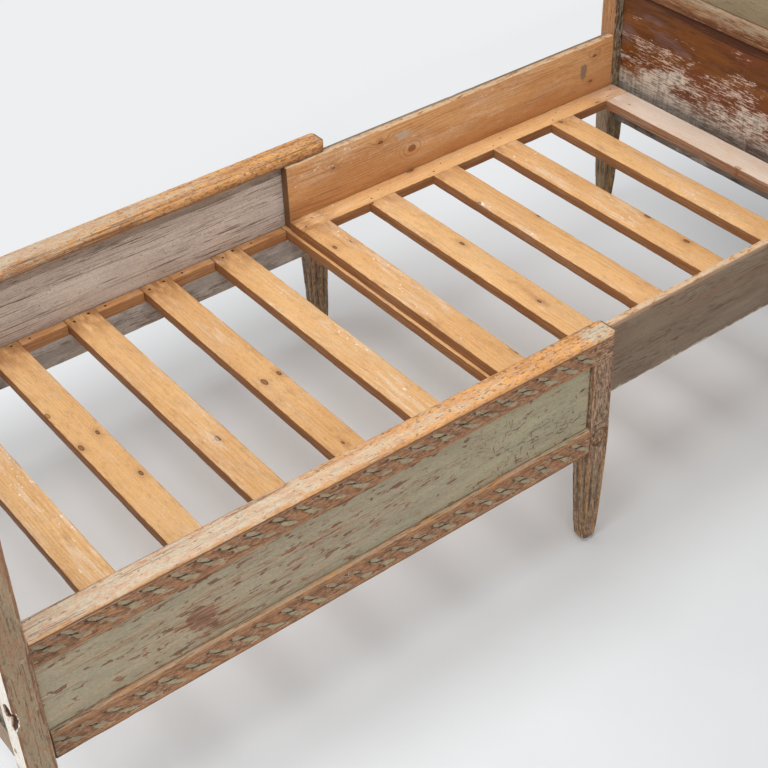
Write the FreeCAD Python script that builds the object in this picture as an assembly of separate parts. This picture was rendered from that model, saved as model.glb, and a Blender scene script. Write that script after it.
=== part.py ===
import FreeCAD, Part
import math
import os
from FreeCAD import Vector

os.makedirs("parts", exist_ok=True)

# A pull-out bed frame in two halves. All sizes are millimetres.
# X runs from the foot end to the head end, Y across the bed, Z up from the floor.
# The origin is the middle of the footprint, and the bed stands pulled out.
# Parts on the +Y side are called back, parts on the -Y side front.

# Overall sizes
bed_width = 850.0            # over the outer faces of the side frames
outer_length = 1095.0        # outer face of the foot posts to the end face of the mid posts
slide_travel = 762.0         # how far the head half pushes in
closed_gap = 2.0             # left between the top rail ends and the head posts when closed
end_height = 950.0           # floor to the tops of the four tall posts
glide_height = 3.0           # disc under each foot
glide_radius = 8.0

# Tall posts and mid posts
post_depth = 44.0            # along X
post_width = 40.0            # along Y
mid_post_depth = 41.0        # along X
mid_post_width = 41.0        # along Y, below the ledge only
post_top_chamfer = 5.0
leg_top_drop = 14.0          # the square of the post ends this far below the bottom rail
foot_size = 29.0             # side of the square a leg tapers to
foot_round = 8.0             # rounding of the foot's lower edges
flute_radius = 5.5
flute_depth = 2.2
flute_run_out = 12.0         # length over which a flute's ends rise to the surface
flutes_apart = 0.46          # half the distance between two flutes, part of half the leg's width
flute_top_drop = 16.0        # top of the flutes below the square of the post
flute_foot_rise = 62.0       # bottom of the flutes above the floor

# Side frames of the foot half
bottom_rail_z = 218.0        # underside of all bottom rails
bottom_rail_height = 53.0
bottom_rail_width = 51.0     # its inner part is the ledge that carries the slats
bottom_rail_chamfer = 5.0
top_rail_z = 405.5           # underside of the side top rails
top_rail_height = 46.5
top_rail_width = 48.0
top_rail_chamfer = 6.0
rail_overhang = 6.0          # top rail end past the mid post
rail_end_round = 13.0
nose_thickness = 20.0        # lip of the top rail over the sliding board
nose_round = 8.0
nose_under_round = 3.0
rebate_depth = 30.5          # outer face of the side frame in to the face the board slides along
panel_recess = 7.0           # outer face of the side frame in to the panel
panel_back_recess = 0.5      # panel behind the face the board slides along
tongue_thickness = 8.0
tongue_setback = 11.5        # outer face of the side frame in to the tongue
groove_depth = 9.0

# Slats, spacers, and the sliding boards of the head half
slat_thickness = 21.0
slat_width = 63.0
outer_slat_count = 6
outer_first_slat = 200.0     # foot posts' outer face to the near edge of the first slat
outer_last_slat_back = 100.5 # mid posts' end face back to the near edge of the last slat
outer_slat_shift = (0.0, -5.0, -7.5, -6.0, -8.0, 0.0)  # laid by eye, not evenly
inner_slat_count = 6
inner_overlap = 94.5         # slats of the pulled-out head half still inside the foot half
board_end_back = 2.5         # free end of the sliding boards behind the first slat's edge
last_slat_past = 4.0         # last slat past the inner face of the head posts
board_thickness = 21.0
ledger_width = 48.0

# Head and foot boards
end_rail_thickness = 27.0
end_panel_recess = 6.0       # outer face of an end rail in to the panel
end_panel_thickness = 15.0
end_tongue_setback = 8.0
end_tongue_thickness = 7.0
mid_rail_z = 531.0
mid_rail_height = 47.0
top_end_rail_height = 63.0
top_end_rail_drop = 25.0     # top of the end rail below the post tops
end_rail_chamfer = 5.0

# Joints
tenon_thickness = 16.0       # side rails into posts
tenon_setback = 7.0          # outer face of the side frame in to the tenon
tenon_past_groove = 3.5      # tenon's edge past the bottom of the panel groove
end_tenon_thickness = 9.0
end_tenon_setback = 7.0
end_tenon_length = 25.0
board_tenon_thickness = 11.0
board_tenon_gap = 26.0       # between the two tenons of a sliding board
board_tenon_shoulder = 16.0
mid_tenon_length = 24.0
mid_tenon_shoulder = 8.0
post_tenon_height = 23.0
tenon_wall = 5.0             # wood left in a post between two crossing mortises
peg_radius = 4.0
peg_sides = 8
peg_past_tenon = 3.0

# Clearances
joint_clear = 0.2            # round a tenon in its mortise
groove_clear = 0.3           # each side of a tongue
panel_play = 1.0             # tongue short of the groove's end
panel_shadow = 1.0           # open line round the thick middle of a panel
peg_clear = 0.3
slide_clear = 0.3            # sliding boards above the outer slats
side_clear = 2.5             # sliding boards inside the faces that they slide along
lip_clear = 1.7              # sliding boards under the lips of the top rails
slat_end_clear = 0.5
spacer_clear = 0.4
lap_clear = 0.3
edge_find = 0.01             # an edge this near to a plane lies on it

# Places that follow from the sizes above
half_width = bed_width / 2.0
overall_length = outer_length + rail_overhang + closed_gap + slide_travel + post_depth
foot_x = -overall_length / 2.0
head_x = overall_length / 2.0
foot_post_x = foot_x + post_depth
mid_end_x = foot_x + outer_length
mid_x = mid_end_x - mid_post_depth
head_post_x = head_x - post_depth
ledge_z = bottom_rail_z + bottom_rail_height
outer_slat_top = ledge_z + slat_thickness
inner_z = outer_slat_top + slide_clear
leg_top_z = bottom_rail_z - leg_top_drop
top_end_rail_z = end_height - top_end_rail_drop - top_end_rail_height
slide_face_y = half_width - rebate_depth
ledge_y = half_width - bottom_rail_width
tongue_y = half_width - tongue_setback
tenon_y = half_width - tenon_setback
board_outer_y = slide_face_y - side_clear
board_inner_y = board_outer_y - board_thickness
head_half_width = board_inner_y + post_width
board_top_z = top_rail_z + top_rail_height - nose_thickness - lip_clear
ledger_inner_y = board_inner_y - ledger_width
tenon_shoulder = groove_depth + tenon_past_groove
side_tenon_length = post_depth - end_tenon_setback - end_tenon_thickness - tenon_wall


def block(x0, x1, y0, y1, z0, z1):
    return Part.makeBox(x1 - x0, y1 - y0, z1 - z0, Vector(x0, y0, z0))


def grown(x0, x1, y0, y1, z0, z1, clear):
    """A block made larger on every side, to cut a mortise with."""
    return block(x0 - clear, x1 + clear, y0 - clear, y1 + clear, z0 - clear, z1 + clear)


def in_front(shape):
    """The same part for the front side of the bed."""
    return shape.mirror(Vector(0, 0, 0), Vector(0, 1, 0))


def at_head(shape):
    """A foot end part turned round for the head end."""
    return shape.mirror(Vector(0, 0, 0), Vector(1, 0, 0))


def joined(shapes):
    return shapes[0].fuse(shapes[1:]).removeSplitter()


def less(shape, cutters):
    return shape.cut(cutters).removeSplitter()


def rounded_outline(corners, to_point):
    """A closed face from corners (a, b, radius); to_point turns a and b into a point."""
    edges = []
    ends = []
    count = len(corners)
    for i in range(count):
        a, b, radius = corners[i]
        here = to_point(a, b)
        before = to_point(*corners[i - 1][:2])
        after = to_point(*corners[(i + 1) % count][:2])
        if radius <= 0.0:
            ends.append((here, here))
            continue
        to_before = (before - here).normalize()
        to_after = (after - here).normalize()
        half_angle = to_before.getAngle(to_after) / 2.0
        reach = radius / math.tan(half_angle)
        to_centre = (to_before + to_after).normalize()
        middle = here + to_centre * (radius / math.sin(half_angle) - radius)
        start = here + to_before * reach
        stop = here + to_after * reach
        ends.append((start, stop))
        edges.append(Part.Arc(start, middle, stop).toShape())
    for i in range(count):
        leave = ends[i][1]
        arrive = ends[(i + 1) % count][0]
        edges.append(Part.makeLine(leave, arrive))
    return Part.Face(Part.Wire(Part.__sortEdges__(edges)))


def gouge_cut(start, stop, outward):
    """A rod with slanted ends, so that the flute it cuts rises to the surface at both ends."""
    along = stop - start
    rod = Part.makeCylinder(flute_radius, along.Length, start, along)
    deep = outward * -flute_radius
    surface = outward * (flute_depth - flute_radius)
    slope = along * (flute_run_out / along.Length)
    shape = [
        start + surface,
        start + slope + deep,
        stop - slope + deep,
        stop + surface,
        stop - deep,
        start - deep,
    ]
    sideways = along.cross(outward).normalize() * (2.0 * flute_radius)
    moved = [point - sideways * 0.5 for point in shape]
    return rod.common(Part.Face(Part.makePolygon(moved + moved[:1])).extrude(sideways))


def rectangle(x_mid, y_mid, half_x, half_y, z):
    return [
        Vector(x_mid - half_x, y_mid - half_y, z),
        Vector(x_mid + half_x, y_mid - half_y, z),
        Vector(x_mid + half_x, y_mid + half_y, z),
        Vector(x_mid - half_x, y_mid + half_y, z),
    ]


def tapered(lower, upper):
    """A solid with flat faces between two rectangles."""
    loops = [lower[::-1], upper]
    for i in range(len(lower)):
        after = (i + 1) % len(lower)
        loops.append([lower[i], lower[after], upper[after], upper[i]])
    faces = [Part.Face(Part.makePolygon(loop + loop[:1])) for loop in loops]
    return Part.makeSolid(Part.makeShell(faces))


def fluted_leg(x0, x1, y0, y1):
    """A leg that tapers from the post's square to the foot, two flutes on each face."""
    x_mid = (x0 + x1) / 2.0
    y_mid = (y0 + y1) / 2.0
    half_foot = foot_size / 2.0
    half_top = ((x1 - x0) / 2.0, (y1 - y0) / 2.0)
    top = rectangle(x_mid, y_mid, half_top[0], half_top[1], leg_top_z)
    foot = rectangle(x_mid, y_mid, half_foot, half_foot, glide_height)
    leg = tapered(foot, top)
    lower_edges = [e for e in leg.Edges if e.BoundBox.ZMax < glide_height + edge_find]
    leg = leg.makeFillet(foot_round, lower_edges)

    def half_at(axis, z):
        part = (z - glide_height) / (leg_top_z - glide_height)
        return half_foot + (half_top[axis] - half_foot) * part

    cutters = []
    heights = (flute_foot_rise, leg_top_z - flute_top_drop)
    for axis in (0, 1):
        for face in (-1, 1):
            for lane in (-1, 1):
                ends = []
                for z in heights:
                    out = face * (half_at(axis, z) + flute_radius - flute_depth)
                    across = lane * flutes_apart * half_at(1 - axis, z)
                    shift = (out, across) if axis == 0 else (across, out)
                    ends.append(Vector(x_mid + shift[0], y_mid + shift[1], z))
                outward = Vector(face, 0, 0) if axis == 0 else Vector(0, face, 0)
                cutters.append(gouge_cut(ends[0], ends[1], outward))
    return less(leg, cutters)


def glide_under(x0, x1, y0, y1):
    place = Vector((x0 + x1) / 2.0, (y0 + y1) / 2.0, 0)
    return Part.makeCylinder(glide_radius, glide_height, place)


def whittled_peg(start, along):
    """A peg cut with a knife to eight sides."""
    side_a = along.cross(Vector(0, 0, 1)).normalize()
    side_b = Vector(0, 0, 1)
    corners = []
    for i in range(peg_sides):
        turn = 2.0 * math.pi * (i + 0.5) / peg_sides
        corners.append(start + (side_a * math.cos(turn) + side_b * math.sin(turn)) * peg_radius)
    return Part.Face(Part.makePolygon(corners + corners[:1])).extrude(along)


def peg_hole(start, along):
    return Part.makeCylinder(peg_radius + peg_clear, along.Length, start, along)


def tenon_span(z0, height):
    """Lower and upper edge of the tenon of a rail."""
    return z0 + tenon_shoulder, z0 + height - tenon_shoulder


# Head and foot boards. They are built at the foot end and turned round for the head end.
end_rails = {
    "bottom_rail": (bottom_rail_z, bottom_rail_height),
    "mid_rail": (mid_rail_z, mid_rail_height),
    "top_rail": (top_end_rail_z, top_end_rail_height),
}
pegged_end_rails = ("bottom_rail", "top_rail")
end_panels = {
    "lower_panel": ("bottom_rail", "mid_rail"),
    "upper_panel": ("mid_rail", "top_rail"),
}
end_tenon_x = (foot_x + end_tenon_setback, foot_x + end_tenon_setback + end_tenon_thickness)
end_tongue_x = (foot_x + end_tongue_setback, foot_x + end_tongue_setback + end_tongue_thickness)
end_peg_reach = end_tenon_setback + end_tenon_thickness + peg_past_tenon


def end_groove(y0, y1, z0, z1):
    return block(
        end_tongue_x[0] - groove_clear, end_tongue_x[1] + groove_clear, y0, y1, z0, z1)


def end_pegs(half, make):
    """The pegs of one end frame, both posts, or the holes for them."""
    pegs = []
    peg_y = half - post_width + end_tenon_length / 2.0
    for rail in pegged_end_rails:
        z0, height = end_rails[rail]
        for side in (-1, 1):
            place = Vector(foot_x, side * peg_y, z0 + height / 2.0)
            pegs.append(make(place, Vector(end_peg_reach, 0, 0)))
    return pegs


def end_post(half, more_cutters):
    """The back post at the foot end, its outer face half away from the middle."""
    inner_y = half - post_width
    shaft = block(foot_x, foot_post_x, inner_y, half, leg_top_z, end_height)
    top_edges = [e for e in shaft.Edges if e.BoundBox.ZMin > end_height - edge_find]
    shaft = shaft.makeChamfer(post_top_chamfer, top_edges)
    cutters = list(more_cutters)
    for z0, height in end_rails.values():
        low, high = tenon_span(z0, height)
        cutters.append(grown(
            end_tenon_x[0], end_tenon_x[1], inner_y, inner_y + end_tenon_length, low, high, joint_clear))
    cutters.append(end_groove(inner_y, inner_y + groove_depth, ledge_z - groove_depth,
                              top_end_rail_z + groove_depth))
    cutters += end_pegs(half, peg_hole)
    leg = fluted_leg(foot_x, foot_post_x, inner_y, half)
    return less(joined([shaft, leg]), cutters)


def end_rail(half, name):
    z0, height = end_rails[name]
    inner_y = half - post_width
    z1 = z0 + height
    rail = block(foot_x, foot_x + end_rail_thickness, -inner_y, inner_y, z0, z1)
    inner_x = foot_x + end_rail_thickness
    eased = [
        e for e in rail.Edges
        if e.BoundBox.XMin > inner_x - edge_find and e.BoundBox.YLength > inner_y]
    rail = rail.makeChamfer(end_rail_chamfer, eased)
    low, high = tenon_span(z0, height)
    reach = inner_y + end_tenon_length
    tenon = block(end_tenon_x[0], end_tenon_x[1], -reach, reach, low, high)
    cutters = end_pegs(half, peg_hole)
    if name != "top_rail":
        cutters.append(end_groove(-inner_y, inner_y, z1 - groove_depth, z1))
    if name != "bottom_rail":
        cutters.append(end_groove(-inner_y, inner_y, z0, z0 + groove_depth))
    return less(joined([rail, tenon]), cutters)


def end_panel(half, name):
    below, above = end_panels[name]
    z0 = sum(end_rails[below])
    z1 = end_rails[above][0]
    inner_y = half - post_width
    face_x = foot_x + end_panel_recess
    field_y = inner_y - panel_shadow
    field = block(
        face_x, face_x + end_panel_thickness, -field_y, field_y, z0 + panel_shadow, z1 - panel_shadow)
    tongue_reach = inner_y + groove_depth - panel_play
    tongue = block(end_tongue_x[0], end_tongue_x[1], -tongue_reach, tongue_reach,
                   z0 - groove_depth, z1 + groove_depth - panel_play)
    return joined([field, tongue])


# Side frame of the foot half, back side
side_rails = {
    "bottom": (bottom_rail_z, bottom_rail_height),
    "top": (top_rail_z, top_rail_height),
}
side_peg_x = foot_post_x - side_tenon_length / 2.0
side_peg_reach = tenon_setback + tenon_thickness + peg_past_tenon
mid_peg_x = mid_x + mid_tenon_length / 2.0
mid_peg_z = bottom_rail_z + bottom_rail_height / 2.0
mid_peg_start_y = half_width - mid_post_width
mid_peg_reach = mid_post_width - tenon_setback - peg_past_tenon


def side_groove(x0, x1, z0, z1):
    return block(x0, x1, tongue_y - tongue_thickness - groove_clear, tongue_y + groove_clear, z0, z1)


def side_tenon(name, x0, x1, clear):
    low, high = tenon_span(*side_rails[name])
    return grown(x0, x1, tenon_y - tenon_thickness, tenon_y, low, high, clear)


def side_pegs(make):
    """Pegs of one side frame, or the holes for them."""
    pegs = []
    for z0, height in side_rails.values():
        place = Vector(side_peg_x, half_width, z0 + height / 2.0)
        pegs.append(make(place, Vector(0, -side_peg_reach, 0)))
    pegs.append(make(Vector(mid_peg_x, mid_peg_start_y, mid_peg_z), Vector(0, mid_peg_reach, 0)))
    return pegs


def post_tenon(clear):
    """The tenon on top of the mid post."""
    return grown(
        mid_x + tenon_shoulder, mid_end_x - mid_tenon_shoulder,
        tenon_y - tenon_thickness, tenon_y, top_rail_z, top_rail_z + post_tenon_height, clear)


def side_top_rail():
    """An angled rail: its lip reaches over the top edge of the sliding board."""
    z1 = top_rail_z + top_rail_height
    outline = [
        (half_width, top_rail_z, 0.0),
        (half_width, z1 - top_rail_chamfer, 0.0),
        (half_width - top_rail_chamfer, z1, 0.0),
        (half_width - top_rail_width, z1, nose_round),
        (half_width - top_rail_width, z1 - nose_thickness, nose_under_round),
        (slide_face_y, z1 - nose_thickness, 0.0),
        (slide_face_y, top_rail_z, 0.0),
    ]
    face = rounded_outline(outline, lambda y, z: Vector(foot_post_x, y, z))
    end_x = mid_end_x + rail_overhang
    rail = face.extrude(Vector(end_x - foot_post_x, 0, 0))
    plan = [
        (foot_post_x, half_width - top_rail_width, 0.0),
        (end_x, half_width - top_rail_width, rail_end_round),
        (end_x, half_width, rail_end_round),
        (foot_post_x, half_width, 0.0),
    ]
    plan_face = rounded_outline(plan, lambda x, y: Vector(x, y, top_rail_z))
    rail = rail.common(plan_face.extrude(Vector(0, 0, top_rail_height)))
    tenon = side_tenon("top", foot_post_x - side_tenon_length, foot_post_x, 0.0)
    groove = side_groove(foot_post_x, mid_x + groove_depth, top_rail_z, top_rail_z + groove_depth)
    return less(joined([rail, tenon]), [groove, post_tenon(joint_clear)] + side_pegs(peg_hole))


def side_bottom_rail():
    """A wide rail: the part of it inside the panel is the ledge for the slats."""
    z1 = ledge_z
    rail = block(foot_post_x, mid_x, ledge_y, half_width, bottom_rail_z, z1)
    outer_edge = [
        e for e in rail.Edges
        if e.BoundBox.YMin > half_width - edge_find and e.BoundBox.ZMin > z1 - edge_find]
    rail = rail.makeChamfer(bottom_rail_chamfer, outer_edge)
    tenon = side_tenon("bottom", foot_post_x - side_tenon_length, mid_x + mid_tenon_length, 0.0)
    groove = side_groove(foot_post_x, mid_x, z1 - groove_depth, z1)
    return less(joined([rail, tenon]), [groove] + side_pegs(peg_hole))


def side_panel():
    field = block(
        foot_post_x + panel_shadow, mid_x - panel_shadow,
        slide_face_y + panel_back_recess, half_width - panel_recess,
        ledge_z + panel_shadow, top_rail_z - panel_shadow)
    reach = groove_depth - panel_play
    tongue = block(
        foot_post_x - reach, mid_x + reach, tongue_y - tongue_thickness, tongue_y,
        ledge_z - groove_depth, top_rail_z + reach)
    return joined([field, tongue])


def mid_post():
    """Thick up to the ledge and thin above it, so that the sliding board passes."""
    shaft = block(mid_x, mid_end_x, half_width - mid_post_width, half_width, leg_top_z, ledge_z)
    thin = block(mid_x, mid_end_x, slide_face_y, half_width, ledge_z, top_rail_z)
    leg = fluted_leg(mid_x, mid_end_x, half_width - mid_post_width, half_width)
    cutters = [
        side_tenon("bottom", mid_x, mid_x + mid_tenon_length, joint_clear),
        side_groove(mid_x, mid_x + groove_depth, ledge_z - groove_depth, top_rail_z),
    ]
    return less(joined([shaft, thin, leg, post_tenon(0.0)]), cutters + side_pegs(peg_hole))


foot_post_cutters = side_pegs(peg_hole)
for rail_name in side_rails:
    foot_post_cutters.append(
        side_tenon(rail_name, foot_post_x - side_tenon_length, foot_post_x, joint_clear))
foot_post_cutters.append(
    side_groove(foot_post_x - groove_depth, foot_post_x, ledge_z - groove_depth, top_rail_z + groove_depth))

# Slats of the foot half lie on the ledges, with spacers between their ends.
# The tops of slats and spacers make one level track for the sliding boards.
outer_first_x = foot_x + outer_first_slat
outer_last_x = mid_end_x - outer_last_slat_back
outer_pitch = (outer_last_x - outer_first_x) / (outer_slat_count - 1)
outer_slat_x = [outer_first_x + outer_pitch * i + outer_slat_shift[i] for i in range(outer_slat_count)]
outer_slat_y = slide_face_y - slat_end_clear


def outer_slat(x0):
    return block(x0, x0 + slat_width, -outer_slat_y, outer_slat_y, ledge_z, outer_slat_top)


def spacers():
    starts = [foot_post_x] + [x + slat_width for x in outer_slat_x[:-1]]
    pieces = []
    for start, stop in zip(starts, outer_slat_x):
        pieces.append(block(
            start + spacer_clear, stop - spacer_clear, ledge_y, outer_slat_y, ledge_z, outer_slat_top))
    return pieces


# Sliding half: two boards on edge, a ledger along each, slats lapped into the ledgers
inner_first_x = mid_end_x - inner_overlap
inner_last_x = head_post_x + last_slat_past - slat_width
inner_pitch = (inner_last_x - inner_first_x) / (inner_slat_count - 1)
inner_slat_x = [inner_first_x + inner_pitch * i for i in range(inner_slat_count)]
inner_end_x = inner_last_x + slat_width
lap_z = inner_z + slat_thickness / 2.0
board_tenon_length = side_tenon_length
board_tenon_mid_y = (board_inner_y + board_outer_y) / 2.0
board_tenon_y = (
    board_tenon_mid_y - board_tenon_thickness / 2.0, board_tenon_mid_y + board_tenon_thickness / 2.0)
board_mid_z = (inner_z + board_top_z) / 2.0
board_tenons = (
    (inner_z + board_tenon_shoulder, board_mid_z - board_tenon_gap / 2.0),
    (board_mid_z + board_tenon_gap / 2.0, board_top_z - board_tenon_shoulder),
)


def board_tenon_blocks(clear):
    return [
        grown(head_post_x, head_post_x + board_tenon_length, *board_tenon_y, low, high, clear)
        for low, high in board_tenons]


def board_pegs(make):
    peg_x = head_post_x + board_tenon_length / 2.0
    reach = head_half_width - board_tenon_y[0] - peg_past_tenon
    return [
        make(Vector(peg_x, head_half_width, (low + high) / 2.0), Vector(0, -reach, 0))
        for low, high in board_tenons]


def sliding_board():
    board = block(
        inner_first_x + board_end_back, head_post_x, board_inner_y, board_outer_y,
        inner_z, board_top_z)
    return less(joined([board] + board_tenon_blocks(0.0)), board_pegs(peg_hole))


def ledger():
    strip = block(
        inner_first_x, inner_end_x, ledger_inner_y, board_inner_y, inner_z, inner_z + slat_thickness)
    laps = []
    for x0 in inner_slat_x:
        first = x0 == inner_slat_x[0]
        last = x0 == inner_slat_x[-1]
        laps.append(block(
            x0 - (0.0 if first else lap_clear), x0 + slat_width + (0.0 if last else lap_clear),
            ledger_inner_y, board_inner_y, inner_z, lap_z))
    return less(strip, laps)


def inner_slat(x0):
    """Its ends are halved from above and lie under the ledgers."""
    middle_y = ledger_inner_y - lap_clear
    middle = block(x0, x0 + slat_width, -middle_y, middle_y, inner_z, inner_z + slat_thickness)
    reach = board_inner_y - lap_clear
    ends = block(x0, x0 + slat_width, -reach, reach, inner_z, lap_z)
    return joined([middle, ends])


nodes = {}


def keep(name, shape):
    nodes[name] = shape


def keep_pair(name, back_shape):
    nodes[name + "_back"] = back_shape
    nodes[name + "_front"] = in_front(back_shape)


keep_pair("foot_post", end_post(half_width, foot_post_cutters))
head_cutters = [at_head(s) for s in board_tenon_blocks(joint_clear) + board_pegs(peg_hole)]
keep_pair("head_post", at_head(end_post(head_half_width, head_cutters)))
for part_name in end_rails:
    keep("foot_" + part_name, end_rail(half_width, part_name))
    keep("head_" + part_name, at_head(end_rail(head_half_width, part_name)))
for part_name in end_panels:
    keep("foot_" + part_name, end_panel(half_width, part_name))
    keep("head_" + part_name, at_head(end_panel(head_half_width, part_name)))
keep_pair("side_top_rail", side_top_rail())
keep_pair("side_bottom_rail", side_bottom_rail())
keep_pair("side_panel", side_panel())
keep_pair("mid_post", mid_post())
for i in range(outer_slat_count):
    keep("outer_slat_%d" % (i + 1), outer_slat(outer_slat_x[i]))
keep_pair("slat_spacers", Part.makeCompound(spacers()))
keep_pair("sliding_board", sliding_board())
keep_pair("slat_ledger", ledger())
for i in range(inner_slat_count):
    keep("inner_slat_%d" % (i + 1), inner_slat(inner_slat_x[i]))

side_peg_set = side_pegs(whittled_peg)
outer_pegs = end_pegs(half_width, whittled_peg) + side_peg_set + [in_front(s) for s in side_peg_set]
board_peg_set = board_pegs(whittled_peg)
inner_pegs = [at_head(s) for s in end_pegs(head_half_width, whittled_peg)]
inner_pegs += board_peg_set + [in_front(s) for s in board_peg_set]
keep("foot_half_pegs", Part.makeCompound(outer_pegs))
keep("head_half_pegs", Part.makeCompound(inner_pegs))

foot_glide = glide_under(foot_x, foot_post_x, half_width - post_width, half_width)
mid_glide = glide_under(mid_x, mid_end_x, half_width - mid_post_width, half_width)
head_glide = glide_under(head_post_x, head_x, head_half_width - post_width, head_half_width)
keep("foot_half_glides", Part.makeCompound(
    [foot_glide, in_front(foot_glide), mid_glide, in_front(mid_glide)]))
keep("head_half_glides", Part.makeCompound([head_glide, in_front(head_glide)]))

for name, shape in nodes.items():
    shape.exportStep("parts/%s.step" % name)
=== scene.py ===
import math
import bmesh
import bpy
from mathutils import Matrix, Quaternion, Vector, noise


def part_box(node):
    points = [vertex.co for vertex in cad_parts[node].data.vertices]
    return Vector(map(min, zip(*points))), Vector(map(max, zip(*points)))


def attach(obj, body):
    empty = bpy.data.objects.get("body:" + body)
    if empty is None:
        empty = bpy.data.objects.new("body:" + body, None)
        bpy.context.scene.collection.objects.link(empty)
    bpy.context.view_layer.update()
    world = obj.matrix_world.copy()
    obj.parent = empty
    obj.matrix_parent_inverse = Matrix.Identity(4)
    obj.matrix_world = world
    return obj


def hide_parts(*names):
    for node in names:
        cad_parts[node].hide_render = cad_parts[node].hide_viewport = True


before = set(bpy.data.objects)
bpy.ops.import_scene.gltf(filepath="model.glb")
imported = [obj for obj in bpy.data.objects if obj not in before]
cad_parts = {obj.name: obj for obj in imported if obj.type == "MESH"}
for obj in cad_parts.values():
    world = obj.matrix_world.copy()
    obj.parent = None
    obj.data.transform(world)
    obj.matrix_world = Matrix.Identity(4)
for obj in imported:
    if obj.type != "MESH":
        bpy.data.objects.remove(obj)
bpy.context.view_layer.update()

# A pull-out bed frame of worn painted wood. X runs from the foot end to the head end, front is -Y, Z is up.
mm = 0.001
SIDES = {"front": -1.0, "back": 1.0}
X, Y, Z = 0, 1, 2

# Camera of the photograph
CAMERA_PLACE = Vector((-1.3434, -1.8182, 1.9586))
CAMERA_LOOK = Vector((0.46208, 0.63131, -0.62284))
CAMERA_ROLL = math.radians(-2.22)
CAMERA_LENS = 73.2
CAMERA_SENSOR = 36.0

# Studio light: the name, place, size and power of each lamp
LAMPS = (
    ("overhead", (-0.5, 0.0, 3.6), 2.6, 85.0),
    ("front_side", (-1.4, -3.8, 2.0), 2.4, 42.0),
    ("foot_side", (-4.2, -0.6, 2.4), 2.4, 60.0))
LAMP_AIM = Vector((0.0, 0.0, 0.2))
SKY_STRENGTH = 0.38
FLOOR_SIZE = 80.0

# Wear of the wood
EASE = 1.6 * mm              # rounding of worn edges
CRISP_EASE = 0.7 * mm        # and of the top rails
EASE_SHARE = 0.45            # most of a side that the rounding of one corner takes
EASE_MIDDLE = 0.29           # share of the rounding at which its middle point lies
END_DRAWN_IN = EASE * 0.8    # of the last ring at each end of a piece
CHIP = 1.1 * mm              # depth of a nick in an edge
NICK_SCALE = 28.0            # nicks to the metre
NICK_SIZES = ((1.0, 0.9), (3.1, 0.5))  # coarse and fine nicks: times that scale, and strength
RING_STEP = 14 * mm          # distance between the rings of a long piece
STEP_GAP = 0.05 * mm         # between the two rings of a step in a piece
SHARP_ANGLE = math.radians(38.0)
CORNER_PARTS = 4             # steps round a corner

# Growth rings
HEART_BELOW = 55 * mm        # from the middle of a board down to the heart of its log
PINE_RING = 6.2 * mm
OLD_RING = 4.2 * mm

# Single marks on the sides: x and z of the middle, half the length, half the height
BALD_PATCH = (-0.654, 0.324, 0.024, 0.026)
BOARD_SMEAR = (0.825, 0.370, 0.011, 0.022)
BOARD_KNOT = (0.352, 0.362, 0.011, 0.008)
BOARD_SCAR = (0.330, 0.402, 0.040, 0.012)

# Where finishes change, as the start and the end of the change: along the bed
BAND_JOINT = (-0.9088, -0.9078)          # between the foot posts and the bands
FOOT_POSTS = (-0.9, -0.8)
MID_POSTS = (0.05, 0.1, 0.15, 0.2)
PAST_BANDS = (0.098, 0.101)
HEAD_POSTS = (0.5, 0.6)
# and in height
FEET = (0.025, 0.06)
LEGS = (0.19, 0.22)
RAIL_LOWER_EDGE = (0.2195, 0.2225)
OVER_LEDGE = (0.27, 0.3)
BOTTOM_RAILS = (0.28, 0.3)
NOSE_UNDERSIDE = (0.4315, 0.4325)
TOP_RAIL_ARRIS = (0.4462, 0.4470, 0.4482, 0.4492)
TOP_RAIL_TOP = (0.448, 0.4495)

# Carving
BAND_PITCH = 42 * mm
BAND_HEIGHT = 35 * mm
BAND_DEPTH = 4.0 * mm
BAND_BED = 5.0 * mm          # thickness of the carved strip, set into the rail
BAND_STEP = 0.8 * mm
BAND_END = 2.0 * mm          # plain wood left at the ends of a band
ROSETTE_RADIUS = 17.5 * mm

# Sections of the side frames
HALF_WIDTH = 425 * mm
TOP_RAIL_WIDTH = 48 * mm
TOP_RAIL_CHAMFER = 3 * mm
NOSE_THICKNESS = 20 * mm
NOSE_ROUND = 8 * mm
RAIL_END_ROUND = 13 * mm
END_ROUND_RINGS = (1.0, 0.6, 0.3, 0.12, 0.04)  # rings of that rounding, as shares of it from the end
REBATE_DEPTH = 30.5 * mm
BOTTOM_RAIL_WIDTH = 51 * mm
BOTTOM_RAIL_CHAMFER = 4 * mm
PANEL_BACK = 30 * mm         # outer face of a side frame in to the panel's inner face
PANEL_FACE = 7 * mm          # and to its outer face
PANEL_SHRUNK = 6 * mm        # gap where the panel has drawn away from the mid post
TONGUE_FACE = 11.5 * mm
TONGUE_BACK = 19.5 * mm
SHADOW_GAP = 1 * mm

# Posts, legs and end frames
LEG_TOP = 204 * mm
LEG_STEP = 6 * mm            # between the rings of a leg
FOOT_SIZE = 29 * mm
FOOT_ROUND = 8 * mm
FOOT_RINGS = (0.0, 0.05, 0.15, 0.3, 0.6, 1.0)  # rings of that rounding, as shares of it from the floor
FOOT_EASE = 7 * mm           # more rounding of the corners at the foot
FOOT_EASE_HEIGHT = 60 * mm
FLUTE_DEPTH = 3.0 * mm
FLUTE_HALF_WIDTH = 4.8 * mm
FLUTE_POINTS = (-1.0, -0.72, -0.38, 0.0, 0.38, 0.72, 1.0)  # across a flute, as shares of its half width
FLUTE_SHARE = 0.42           # most of half a face that half a flute takes
FLUTE_RUN_OUT = 12 * mm
FLUTE_TOP = 188 * mm
FLUTE_BOTTOM = 62 * mm
POST_TOP_CHAMFER = 5 * mm
NECK_GROOVE = 1.2 * mm       # depth of the groove over a mid post's rosette, and half its height
END_RAIL_CHAMFER = 5 * mm
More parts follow.
